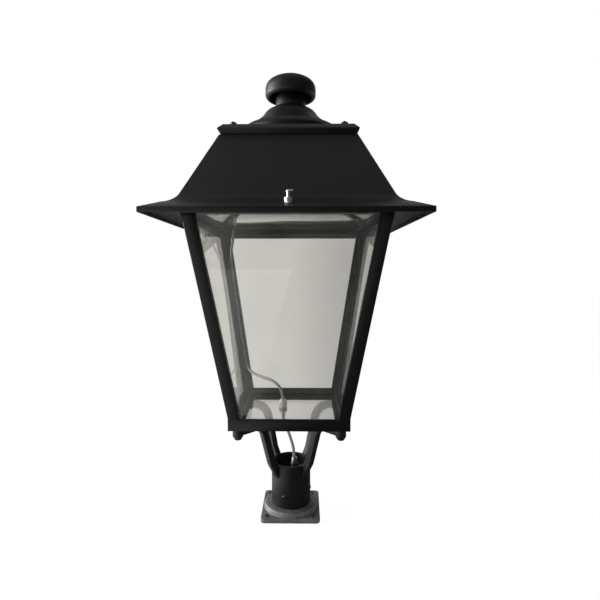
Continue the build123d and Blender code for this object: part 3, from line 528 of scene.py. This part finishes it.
def moved(x=0.0, y=0.0, z=0.0, turn=0.0):
    """A placement: a turn about +Z in degrees, then a shift in millimetres."""
    return Matrix.Translation(Vector((x, y, z)) * MM) @ Matrix.Rotation(math.radians(turn), 4, "Z")


def repeated(piece, placements):
    """The piece at each placement, each a copy with its own mesh, joined into one."""
    made = []
    for placement in placements:
        twin = bpy.data.objects.new(piece.name, piece.data.copy())
        scene.collection.objects.link(twin)
        twin.data.transform(placement)
        made.append(twin)
    name = piece.name
    bpy.data.objects.remove(piece)
    whole = joined(*made)
    whole.name = name
    return whole


def copied(node, name, soft=0.0, segments=2, angle=35):
    """A copy of a CAD node's mesh: welded, its flat faces made whole, its sharp edges rounded."""
    piece = bpy.data.objects.new(name, nodes[node].data.copy())
    scene.collection.objects.link(piece)
    shape(piece)
    bpy.ops.mesh.customdata_custom_splitnormals_clear()
    bpy.ops.mesh.remove_doubles(threshold=WELD)
    bpy.ops.mesh.dissolve_limited(angle_limit=math.radians(0.5))
    bpy.ops.object.mode_set(mode="OBJECT")
    return softened(piece, soft, segments, angle) if soft else piece


def finished(piece, finish, *stands_for, slot=None, angle=32):
    """Shades and dresses a piece, which then stands for CAD nodes, on their body; the slot it is given is
    not used.
    """
    only(piece)
    bpy.ops.object.shade_smooth_by_angle(angle=math.radians(angle))
    piece.data.materials.clear()
    piece.data.materials.append(FINISH[finish])
    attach(piece, nodes[stands_for[0]]["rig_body"])
    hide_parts(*stands_for)
    return piece


def added(piece, finish, body="root", angle=32):
    """Shades and dresses a piece that stands for no CAD node."""
    only(piece)
    bpy.ops.object.shade_smooth_by_angle(angle=math.radians(angle))
    piece.data.materials.clear()
    piece.data.materials.append(FINISH[finish])
    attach(piece, body)
    return piece


# ------------------------------ fasteners
def hexagon(name, radius, low, high, at=(0.0, 0.0), cut=0.18):
    """A hexagon nut or head, its corners turned off above and below."""
    piece = rod(name, radius, low, high, at, sides=6)
    reach, drop = radius * 1.01, radius * cut
    cone = lathed("turning", [(0, low), (radius * 0.9, low), (reach, low + drop), (reach, high - drop),
                              (radius * 0.9, high), (0, high)], at, steps=36)
    return combined(piece, cone, operation="INTERSECT")


def thread(name, radius, low, high, at=(0.0, 0.0), pitch=1.0):
    """A threaded end: crests and roots turned round, with a chamfered tip."""
    turns = int((high - low - pitch) / pitch)
    root = radius * 0.86
    outline = [(0, low), (root, low)]
    for turn in range(turns):
        outline += [(root, low + turn * pitch + pitch * 0.1), (radius, low + turn * pitch + pitch * 0.5),
                    (root, low + turn * pitch + pitch * 0.9)]
    outline += [(root, high - pitch * 0.6), (root * 0.85, high), (0, high)]
    return lathed(name, outline, at, steps=28)


def pan_screw(name, radius, low, high, at=(0.0, 0.0)):
    """A pan head with a cross recess."""
    rise = high - low
    head = lathed(name, rounded(
        (0, low), (radius, low), (radius, high, rise * 0.7), (0, high)), at, steps=32)
    wide, deep = radius * 0.9, radius * 0.2
    for size_x, size_y in ((wide, deep), (deep, wide)):
        slot = block("recess", (at[0] - size_x / 2, at[1] - size_y / 2, low + rise * 0.4),
                     (at[0] + size_x / 2, at[1] + size_y / 2, high + 1))
        combined(head, slot, operation="DIFFERENCE")
    return head


# ------------------------------ flange, hub and arms
FLANGE_THICK, FLANGE_CORNER = 9.3, 8.0
FLANGE_BOSS_R, SPIGOT_R, SPIGOT_BORE = 55.0, 30.0, 26.0
BOLT_OUT, BOLT_HOLE_R = 45.0, 5.5
HUB_R, CUP_WALL, CUP_DEPTH, WEB = 39.8, 5.0, 26.0, 5.0
GRUB_ANGLES = (-108, 12, 132)
ARM_THICK, ARM_DEPTH, ARM_BEND_R, ARM_BEND_OUT, ARM_FOOT_OUT = 13.0, 14.0, 34.0, 97.0, 134.0
ARM_LEAN = math.radians(16.3)
ARM_ROOT_LOW, FOOT_R, FOOT_LOW = 78.3, 10.0, 185.3
ARM_BOLT_R, ARM_BOLT_HEAD_R, ARM_WASHER_R = 3.9, 6.5, 7.4
FIRST_CORNER = -135  # direction of the front left corner


def four_corners():
    """Placements that carry a piece modelled along +X round to each corner of the cage."""
    return [moved(turn=FIRST_CORNER + 90 * step) for step in range(4)]


def post_flange():
    low, high = span("post_flange")
    boss_top = span("hub_collar")[0].z
    plate = block("post_flange_casting", (low.x, low.y, 0), (high.x, high.y, FLANGE_THICK))
    shape(plate)
    bpy.ops.mesh.select_mode(type="EDGE")
    bpy.ops.mesh.select_all(action="DESELECT")
    edges = bmesh.from_edit_mesh(plate.data)
    for edge in edges.edges:
        edge.select_set(abs(edge.verts[0].co.z - edge.verts[1].co.z) > MM)
    bmesh.update_edit_mesh(plate.data)
    bpy.ops.mesh.bevel(offset=FLANGE_CORNER * MM, segments=8, affect="EDGES")
    bpy.ops.object.mode_set(mode="OBJECT")
    softened(plate, 1.8, 4, 40)
    boss = ring("boss", rounded(
        (SPIGOT_BORE, 1), (FLANGE_BOSS_R + 2.4, 1), (FLANGE_BOSS_R + 2.4, FLANGE_THICK),
        (FLANGE_BOSS_R, FLANGE_THICK, 2.2), (FLANGE_BOSS_R, boss_top, 6.0), (SPIGOT_R, boss_top, 1.5),
        (SPIGOT_R, high.z, 1.0), (SPIGOT_BORE, high.z)), steps=96)
    combined(plate, boss)
    combined(plate, rod("bore", SPIGOT_BORE, -2, high.z + 2, sides=96), operation="DIFFERENCE")
    for x in (-BOLT_OUT, BOLT_OUT):
        for y in (-BOLT_OUT, BOLT_OUT):
            hole = ring("hole", [
                (0.01, -2), (BOLT_HOLE_R, -2), (BOLT_HOLE_R, FLANGE_THICK - 0.7),
                (BOLT_HOLE_R + 1.2, FLANGE_THICK + 0.5), (0.01, FLANGE_THICK + 0.5)], (x, y), 40)
            combined(plate, hole, operation="DIFFERENCE")
    finished(plate, "galvanised_steel", "post_flange")


def hub_collar():
    low, high = span("hub_collar")
    inner = HUB_R - CUP_WALL
    floor = high.z - CUP_DEPTH
    finished(lathed("hub_casting", rounded(
        (0, floor - WEB), (SPIGOT_R + 0.3, floor - WEB), (SPIGOT_R + 0.3, low.z), (HUB_R, low.z, 1.6),
        (HUB_R, high.z, 2.0), (inner, high.z, 1.6), (inner, floor, 5.0), (0, floor)), steps=96),
        "cast_black", "hub_collar")


def support_arms():
    """Curved cast arms: rounded bars that bend from the hub out to a round foot under each corner."""
    top = span("support_arm_front_left")[1].z
    hub_top = span("hub_collar")[1].z
    bend_z = top - ARM_BEND_R

    def leg(radius, z):
        """How far out the leg's side is at a height; radius tells its upper side from its under side."""
        return ARM_BEND_OUT - radius / math.cos(ARM_LEAN) + (z - bend_z) * math.tan(ARM_LEAN)

    under_r, under_z = ARM_BEND_R - ARM_DEPTH, top - ARM_DEPTH
    root = HUB_R - CUP_WALL / 2
    inner_z, outer_z = hub_top + ARM_DEPTH, hub_top + ARM_DEPTH / 2
    outline = rounded(
        (ARM_FOOT_OUT, top), (leg(ARM_BEND_R, top), top, ARM_BEND_R),
        (leg(ARM_BEND_R, inner_z), inner_z, 14),
        (root, hub_top - 1.5), (root, ARM_ROOT_LOW), (HUB_R + 0.4, ARM_ROOT_LOW),
        (leg(under_r, outer_z), outer_z, 22),
        (leg(under_r, under_z), under_z, under_r), (ARM_FOOT_OUT, under_z), steps=10)
    arm = softened(sawn("arm", outline, ARM_THICK), 3.2, 4, 50)
    foot = lathed("foot", rounded(
        (0, FOOT_LOW), (FOOT_R, FOOT_LOW, 5.0), (FOOT_R, top), (0, top)), (ARM_FOOT_OUT, 0), 40)
    arm = joined(arm, foot)
    for place, corner in enumerate(CORNERS):
        twin = bpy.data.objects.new(f"arm_casting_{corner}", arm.data.copy())
        scene.collection.objects.link(twin)
        twin.data.transform(moved(turn=FIRST_CORNER + 90 * place))
        finished(twin, "cast_black", f"support_arm_{corner}", angle=40)
    bpy.data.objects.remove(arm)


def arm_bolts():
    """Hexagon heads under the feet, each on a washer, and their ends inside the bottom rails."""
    low, high = span("arm_bolts")
    at = (ARM_FOOT_OUT, 0)
    head = hexagon("arm_bolt_heads", ARM_BOLT_HEAD_R, low.z, low.z + 2.5, at)
    washer = ring("washer", [(ARM_BOLT_R, low.z + 2.4), (ARM_WASHER_R, low.z + 2.4),
                             (ARM_WASHER_R, low.z + 3), (ARM_BOLT_R, low.z + 3)], at, 36)
    shank = rod("shank", ARM_BOLT_R, low.z + 2, high.z, at)
    bolts = repeated(joined(head, washer, shank), four_corners())
    finished(bolts, "black_aluminium", "arm_bolts", slot="bright_steel")


def grub_screws():
    low, high = span("grub_screws")
    middle = (low.z + high.z) / 2
    screw = ring("grub_screw_set", [(0.01, 0), (4, 0), (4, 10.2), (3.2, 11), (0.01, 11)], steps=32)
    socket = rod("socket", 2.2, 5, 12, sides=6)
    combined(screw, socket, operation="DIFFERENCE")
    screw.data.transform(moved(x=30.3, z=middle) @ Matrix.Rotation(math.radians(90), 4, "Y"))
    finished(repeated(screw, [moved(turn=angle) for angle in GRUB_ANGLES]), "dark_steel", "grub_screws")


# ------------------------------ cage
CAGE_TOP_HALF, CAGE_FOOT_HALF, CAGE_HEIGHT, RAIL_HEIGHT = 173.8, 107.2, 387.0, 22.0
CAGE_PIECES = (  # node, name of the piece, width of its rounded edges, finish
    ("bottom_rail", "bottom_rail_bar", 0.7, "black_aluminium"),
    ("top_rail", "top_rail_bar", 0.6, "black_aluminium"),
    ("glazing_bead", "glazing_strips", 0.7, "black_aluminium"),
    ("pane", "glass", 0.4, "pane_glass"),
)


def cage():
    """Rails, beads, panes and posts, their edges rounded as a coated bar's or a ground pane's are."""
    for side in SIDES:
        for node, name, soft, finish in CAGE_PIECES:
            finished(copied(f"{node}_{side}", f"{name}_{side}", soft), finish, f"{node}_{side}")
    for corner in CORNERS:
        finished(copied(f"corner_post_{corner}", f"post_bar_{corner}", 0.6, angle=45), "black_aluminium",
                 f"corner_post_{corner}")


# ------------------------------ roof
CROWN_BOLT_OUT, CROWN_BOLT_R, CROWN_NUT_R, CROWN_WASHER_R = 98.0, 3.0, 6.5, 8.0
BELL_WALL, SKIRT_R, NECK_R = 2.5, 96.0, 29.0
CAP_R, CAP_LIP, CAP_SIDE, CAP_SHOULDER, CAP_DOME = 49.5, 7.5, 9.0, 19.0, 27.5


def roof_shell():
    finished(copied("roof_shell", "roof_sheet", 0.9, 3, 40), "black_aluminium", "roof_shell", angle=25)


def crown():
    """Cast cornice with softened edges, and its nuts on washers with their threaded ends."""
    finished(copied("crown_plate", "crown_casting", 1.0, 3, 30), "black_aluminium", "crown_plate")
    low, high = span("crown_bolts")
    top = span("crown_plate")[1].z
    washer = ring("crown_nuts", rounded(
        (CROWN_BOLT_R + 0.1, top), (CROWN_WASHER_R, top), (CROWN_WASHER_R, top + 1.2, 0.4),
        (CROWN_BOLT_R + 0.1, top + 1.2)), steps=40)
    nut = hexagon("nut", CROWN_NUT_R, top + 1.2, top + 6.7)
    end = thread("end", CROWN_BOLT_R, top + 5, high.z)
    head = hexagon("head", CROWN_NUT_R, low.z, low.z + 5.5)
    shank = rod("shank", CROWN_BOLT_R, low.z + 5, top + 3)
    places = [moved(x, y, turn=20 * x / CROWN_BOLT_OUT) for x in (-CROWN_BOLT_OUT, CROWN_BOLT_OUT)
              for y in (-CROWN_BOLT_OUT, CROWN_BOLT_OUT)]
    finished(repeated(joined(washer, nut, end, head, shank), places), "dark_steel", "crown_bolts")


def chimney():
    """Spun chimney: foot ring, flared skirt, round shoulder and neck, with the bridge bar across it."""
    foot, top = span("chimney_bell")[0].z, span("chimney_bell")[1].z
    skirt, waist = (91.0, foot + 22), (56.0, foot + 46)
    shoulder, shoulder_top = (52.5, foot + 50.5), (33.0, foot + 63)
    neck_foot = (NECK_R, foot + 68)
    outline = [
        *rounded((SKIRT_R, foot), (SKIRT_R, foot + 14, 3), skirt)[0:-1], Vector(skirt),
        *bowed(skirt, waist, 2.2), Vector(waist),
        Vector(shoulder), *bowed(shoulder, shoulder_top, -3.0), Vector(shoulder_top),
        *bowed(shoulder_top, neck_foot, 0.7), Vector(neck_foot),
        Vector((NECK_R, (foot + top) / 2)), Vector((NECK_R, top)),
    ]
    bell = lathed("chimney_shell", outline, steps=128)
    modified(bell, "SOLIDIFY", thickness=BELL_WALL * MM, offset=-1)
    softened(bell, 0.6, 2, 50)
    low = top - 8
    bridge = softened(block("bridge", (-26.8, -7, low), (26.8, 7, low + 5)), 0.8)
    finished(joined(bell, bridge), "black_aluminium", "chimney_bell", angle=40)


def finial_cap():
    """Domed cap with its edge rolled under."""
    low, high = span("finial_cap")
    spring = low.z + CAP_LIP + CAP_SIDE
    reach = CAP_R - CAP_SHOULDER
    crown_r = (reach**2 + CAP_DOME**2 - CAP_SHOULDER**2) / (2 * (CAP_DOME - CAP_SHOULDER))
    crown_z = high.z - crown_r
    joint = math.degrees(math.atan2(spring - crown_z, reach))
    outline = [*arc((CAP_R - CAP_LIP, low.z + CAP_LIP), CAP_LIP, -90, 0, 8),
               *arc((reach, spring), CAP_SHOULDER, 0, joint, 12)[0:-1],
               *arc((0, crown_z), crown_r, joint, 90, 10)]
    cap = lathed("cap_spinning", outline, steps=128)
    modified(cap, "SOLIDIFY", thickness=BELL_WALL * MM, offset=-1)
    softened(cap, 0.5, 2, 50)
    neck_top = span("chimney_bell")[1].z
    boss = ring("boss", [(4.1, neck_top + 0.3), (8, neck_top + 0.3), (8, high.z - 3), (4.1, high.z - 4)],
                steps=40)
    finished(joined(cap, boss), "black_aluminium", "finial_cap", angle=40)
    finished(stud(), "dark_steel", "cap_stud")


def stud():
    low, high = span("cap_stud")
    rod_piece = thread("cap_stud_thread", 4.0, low.z, high.z, pitch=1.25)
    return joined(rod_piece, hexagon("nut", 7.5, low.z + 5, low.z + 11))


# ------------------------------ hinge and latch
LATCH_AT = (3.0, -199.0)


def hinges():
    """Brackets, leaves and pins, their edges rounded."""
    finished(copied("hinge_bracket", "hinge_brackets", 0.5, angle=40), "black_aluminium", "hinge_bracket")
    finished(copied("hinge_leaf", "hinge_leaves", 0.5, angle=40), "black_aluminium", "hinge_leaf")
    finished(copied("hinge_pins", "hinge_pin_rods", 0.4, 3, 40), "bright_steel", "hinge_pins")


def latch():
    """Quarter-turn latch: a plated stem with a rounded lever, its bush in the brim, its cam and keeper."""
    low, high = span("latch_handle")
    lever_low, depth = high.z - 3, LATCH_AT[1]
    stem = lathed("latch_stem", rounded(
        (0, low.z), (3, low.z, 0.4), (3, lever_low + 0.5), (0, lever_low + 0.5)), LATCH_AT, 32)
    lever = block("lever", (low.x, depth - 2.5, lever_low), (high.x, depth + 2.5, high.z))
    softened(lever, 1.1, 3)
    collar = ring("collar", rounded(
        (2.9, lever_low - 2.2), (4.0, lever_low - 2.2, 0.5), (4.0, lever_low, 0.3), (2.9, lever_low)),
        LATCH_AT, 32)
    finished(joined(stem, lever, collar), "chrome", "latch_handle")
    finished(copied("latch_housing", "latch_bush", 0.5, 3, 40), "chrome", "latch_housing",
             slot="bright_steel")
    finished(copied("latch_cam", "latch_cam_plate", 0.4), "bright_steel", "latch_cam")
    finished(copied("latch_keeper", "latch_keeper_plate", 0.5), "black_aluminium", "latch_keeper")


# ------------------------------ light unit
LENS_PITCH, LENS_R = 48.0, 8.5
TRAY_SCREW_R, TRAY_SCREW_OUT = 3.8, 110


def light_unit():
    """Tray and board seen through the ceiling glass, and the gear that the opened roof shows."""
    finished(copied("gear_tray", "gear_tray_sheet", 0.6), "black_aluminium", "gear_tray")
    finished(copied("led_board", "led_board_sheet", 0.2), "board_white", "led_board")
    finished(copied("ceiling_glass", "ceiling_glass_sheet", 0.5), "pane_glass", "ceiling_glass")
    finished(copied("heat_sink", "heat_sink_fins", 0.4), "bare_aluminium", "heat_sink")
    low, high = span("led_lenses")
    lens = lathed("led_lens_domes", rounded((0, low.z), (5.4, low.z, 4.0), (LENS_R, high.z - 1.2, 1.0),
                                            (LENS_R, high.z), (0, high.z)), steps=40)
    places = [LENS_PITCH * (step - 1.5) for step in range(4)]
    finished(repeated(lens, [moved(x, y) for x in places for y in places]), "lens_plastic", "led_lenses")
    low, high = span("tray_screws")
    head = pan_screw("tray_screw_heads", TRAY_SCREW_R, high.z - 2.2, high.z)
    shank = rod("shank", 1.9, low.z, high.z - 2, sides=20)
    screw = joined(head, shank)
    out = high.y - TRAY_SCREW_R
    places = [moved(turn=90 * step) @ moved(x, -out) for step in range(4)
              for x in (-TRAY_SCREW_OUT, TRAY_SCREW_OUT)]
    finished(repeated(screw, places), "bright_steel", "tray_screws")


DRIVER_SEAM_IN, SEAM_HALF, SEAM_DEPTH = 6, 0.6, 0.6


def driver():
    """Sealed driver: a moulded case with the seam of a lid round each end."""
    low, high = span("driver")
    case = softened(block("driver_case", low, high), 3.0, 4)
    for x in (low.x + DRIVER_SEAM_IN, high.x - DRIVER_SEAM_IN):
        groove = block("groove", (x - SEAM_HALF, low.y - 1, low.z - 1),
                       (x + SEAM_HALF, high.y + 1, high.z + 1))
        shell = block("core", (x - 2, low.y + SEAM_DEPTH, low.z - 2),
                      (x + 2, high.y - SEAM_DEPTH, high.z - SEAM_DEPTH))
        combined(groove, shell, operation="DIFFERENCE")
        combined(case, groove, operation="DIFFERENCE")
    finished(case, "white_plastic", "driver")


TERMINALS, TERMINAL_FIRST, TERMINAL_PITCH = 3, 10, 12
WELL_R, WELL_DEPTH, TERMINAL_SCREW_R, TERMINAL_SCREW_RISE = 3.6, 7, 3.3, 2.4


def terminal_block():
    """Screw terminal block: a stepped body with three screw wells in its top."""
    low, high = span("terminal_block")
    body = softened(block("terminal_body", low, high), 1.0, 3)
    well_y = (low.y + high.y) / 2
    screws = []
    floor = high.z - WELL_DEPTH
    for step in range(TERMINALS):
        at = (low.x + TERMINAL_FIRST + step * TERMINAL_PITCH, well_y)
        well = rod("well", WELL_R, floor, high.z + 1, at, 28)
        combined(body, well, operation="DIFFERENCE")
        head_top = floor + TERMINAL_SCREW_RISE
        screws.append(pan_screw("terminal_screws", TERMINAL_SCREW_R, floor, head_top, at))
    finished(body, "white_plastic", "terminal_block")
    added(joined(*screws), "bright_steel")


# ------------------------------ supply cable and its fittings
CABLE_R, CABLE_INSET, CABLE_ENTRY_UP = 3.0, 13.0, 16.5
HUB_GLAND_X = 7.0
PANE_GLAND_AT = (-17.0, 15.0)


def supply_cable():
    """The cable from the hub's gland up the back left post to the terminal block, on the CAD's route."""
    foot, top = span("corner_post_back_left")[0].z - RAIL_HEIGHT, span("gear_tray")[0].z
    web_low = span("hub_gland")[0].z
    hub_gland_top = span("hub_gland")[1].z
    entry_z = span("terminal_block")[0].z + CABLE_ENTRY_UP
    grommet = (span("cable_grommet")[0] + span("cable_grommet")[1]) / 2

    def corner_line(z):
        slope = (CAGE_TOP_HALF - CAGE_FOOT_HALF) / CAGE_HEIGHT
        out = CAGE_FOOT_HALF + slope * (z - foot) - CABLE_INSET
        return (-out, out, z)

    route = [
        (HUB_GLAND_X, 0, web_low), (HUB_GLAND_X, 0, hub_gland_top + 10),
        (1, 3, foot - 61), (-8, 8, foot - 38), (*PANE_GLAND_AT, foot - 17), (*PANE_GLAND_AT, foot + 33),
        (-26, 24, foot + 49), (-43, 41, foot + 57), (-66, 64, foot + 58), (-86, 85, foot + 60),
        (-101, 101, foot + 68), corner_line(foot + 93), corner_line(top - 68),
        (grommet.x, grommet.y, top - 19), (grommet.x, grommet.y, top + 28),
        (-132, 132, top + 45), (-122, 121, top + 56), (-108, 109, entry_z), (-91, 103, entry_z),
        (-74, 103, entry_z),
    ]
    curve = bpy.data.curves.new("supply_cable_line", "CURVE")
    curve.dimensions = "3D"
    spline = curve.splines.new("NURBS")
    spline.points.add(len(route) - 1)
    for point, place in zip(spline.points, route):
        point.co = (*(Vector(place) * MM), 1)
    spline.order_u = 3
    spline.use_endpoint_u = True
    spline.resolution_u = 10
    curve.bevel_depth, curve.bevel_resolution, curve.use_fill_caps = CABLE_R * MM, 6, True
    cable = bpy.data.objects.new("supply_cable_sheath", curve)
    scene.collection.objects.link(cable)
    curve.materials.append(FINISH["cable_grey"])
    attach(cable, "root")
    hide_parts("supply_cable")


def gland(name, radius, seat, top, at, ribs=6):
    """A cable gland: a turned hexagon and a ribbed domed nut with a lip round the cable."""
    dome = seat + (top - seat) * 0.35
    base = hexagon(name, radius, seat, dome, at, 0.12)
    nut = ring("nut", rounded(
        (CABLE_R + 0.2, dome - 0.5), (radius * 0.9, dome - 0.5),
        (radius * 0.9, dome + (top - dome) * 0.45, 1.0), (radius * 0.64, top - 0.6, 1.2),
        (CABLE_R + 1.2, top - 0.3, 0.4), (CABLE_R + 0.2, top - 1.5)), at, 48)
    rib = block("rib", (radius * 0.8, -0.7, dome + 0.4), (radius * 0.97, 0.7, dome + (top - dome) * 0.42))
    softened(rib, 0.3)
    placements = [moved(at[0], at[1], turn=360 * step / ribs) for step in range(ribs)]
    return joined(base, nut, repeated(rib, placements))


def glands():
    low, high = span("hub_gland")
    seat = span("hub_collar")[1].z - CUP_DEPTH
    hub = joined(gland("hub_gland_body", 8.0, seat, high.z, (HUB_GLAND_X, 0)),
                 rod("tail", 3.9, low.z, seat + 0.5, (HUB_GLAND_X, 0)))
    finished(hub, "bright_steel", "hub_gland")
    low, high = span("pane_gland")
    seat = span("pane_bottom")[1].z
    pane = joined(gland("pane_gland_body", 9.0, seat, high.z, PANE_GLAND_AT, 8),
                  thread("tail", 7.0, low.z, seat + 0.5, PANE_GLAND_AT, 1.5))
    finished(pane, "white_plastic", "pane_gland")
    low, high = span("gland_nut")
    finished(hexagon("gland_lock_nut", 10.0, low.z, high.z, PANE_GLAND_AT, 0.12), "gland_grey", "gland_nut",
             slot="white_plastic")
    finished(copied("cable_clips", "cable_clip_rings", 0.3), "clip_grey", "cable_clips",
             slot="white_plastic")
    finished(copied("cable_grommet", "cable_grommet_rubber", 0.5, 3), "grey_rubber", "cable_grommet")


for make in (post_flange, hub_collar, support_arms, arm_bolts, grub_screws, cage, roof_shell, crown,
             chimney, finial_cap, hinges, latch, light_unit, driver, terminal_block, supply_cable, glands):
    make()


# ------------------------------ surroundings
WHITE = (1.0, 1.0, 1.0)
LEVEL_MATT = 0.48  # what matt surfaces get from all round
LEVEL_FRONT = 0.085  # what gloss mirrors towards the camera's side
LEVEL_ABOVE = 0.38  # what gloss mirrors overhead
LEVEL_LEFT = 1.6  # the window's wall on the left
LEVEL_FLOOR_LEFT = 1.1  # the floor below that wall
RIGHT_DIMMED = 0.75  # how much darker the right side is than the back and the top
LEFT_TOWARDS = (-0.99, -0.08, 0.1)
WINDOW_AT, WINDOW_SIZE, WINDOW_POWER = (-2.3, 0.2, 0.85), 1.6, 85
CAGE_MIDDLE = (0, 0, 0.5)
FLOOR_SIZE, FLOOR_DROP = 24, 0.0002
FLOOR_SHOWN, FLOOR_GLOW = 0.95, 1.03  # the rest of what the camera sees of it is its shadows


def make_world():
    """White where it is seen or looked through, even for matt surfaces; gloss mirrors a room round it."""
    world = bpy.data.worlds.new("studio")
    scene.world = world
    world.use_nodes = True
    paint = Paint.of_tree(world.node_tree)
    direction = paint.node("ShaderNodeTexCoord")
    apart = [paint.node("ShaderNodeSeparateXYZ", None, direction, out=axis) for axis in range(3)]
    low_down = 1.0 - paint.ramp(apart[2], 0.28, 0.62)
    behind = paint.ramp(apart[1], 0.0, 0.6) * low_down
    rightward = paint.ramp(apart[0], 0.2, 0.8)
    above = paint.ramp(apart[2], 0.1, 0.7) * LEVEL_ABOVE
    dot = {"operation": "DOT_PRODUCT"}
    towards = paint.node("ShaderNodeVectorMath", dot, direction, LEFT_TOWARDS, out=1)
    left = paint.ramp(towards, 0.52, 0.88) * LEVEL_LEFT
    mirrored = (behind.most(above) * (1.0 - rightward * RIGHT_DIMMED)).most(left).most(LEVEL_FRONT)
    rays = [paint.node("ShaderNodeLightPath", out=out)
            for out in ("Is Camera Ray", "Is Transmission Ray", "Is Glossy Ray")]
    seen = (rays[0] + rays[1]).clamped()
    lit = rays[2] * mirrored + (1.0 - rays[2]) * LEVEL_MATT
    strength = seen + (1.0 - seen) * lit
    back = paint.node("ShaderNodeBackground", None, Color=WHITE, Strength=strength)
    out = paint.tree.nodes.new("ShaderNodeOutputWorld")
    paint.tree.links.new(back.socket, out.inputs[0])


def make_floor():
    """A pale floor that looks white with a faint shadow; gloss mirrors it bright behind and on the left."""
    bpy.ops.mesh.primitive_plane_add(size=FLOOR_SIZE, location=(0, 0, -FLOOR_DROP))
    floor = bpy.context.object
    floor.name = "studio_floor"
    paint = Paint("floor_white")
    rays = [paint.node("ShaderNodeLightPath", out=out) for out in ("Is Camera Ray", "Is Transmission Ray")]
    seen = (rays[0] + rays[1]).clamped()
    mirrored = paint.node("ShaderNodeLightPath", out="Is Glossy Ray")
    matt = paint.node("ShaderNodeBsdfDiffuse", None, Color=(0.82, 0.82, 0.82))
    across = paint.node("ShaderNodeSeparateXYZ", None, paint.place(), out=0)
    depth = paint.node("ShaderNodeSeparateXYZ", None, paint.place(), out=1)
    leftward = paint.ramp(across * -1.0, 0.07, 0.17) * LEVEL_FLOOR_LEFT
    level = paint.ramp(depth, 0.15, 0.7).most(leftward).most(LEVEL_FRONT)
    image = paint.node("ShaderNodeEmission", None, Color=WHITE, Strength=level)
    glow = paint.node("ShaderNodeEmission", None, Color=WHITE, Strength=FLOOR_GLOW)
    lit = paint.node("ShaderNodeMixShader", None, mirrored, matt, image)
    shown = paint.node("ShaderNodeMixShader", None, seen * FLOOR_SHOWN, lit, glow)
    floor.data.materials.append(paint.done(shown))


def lamp(name, at, aim, size, watts):
    """A soft square lamp that points at a place."""
    bpy.ops.object.light_add(type="AREA", location=at)
    made = bpy.context.object
    made.name = name
    made.data.size, made.data.energy = size, watts
    made.rotation_euler = (Vector(aim) - Vector(at)).to_track_quat("-Z", "Y").to_euler()


make_world()
make_floor()
lamp("left_window", WINDOW_AT, CAGE_MIDDLE, WINDOW_SIZE, WINDOW_POWER)

scene.view_settings.view_transform = "Standard"
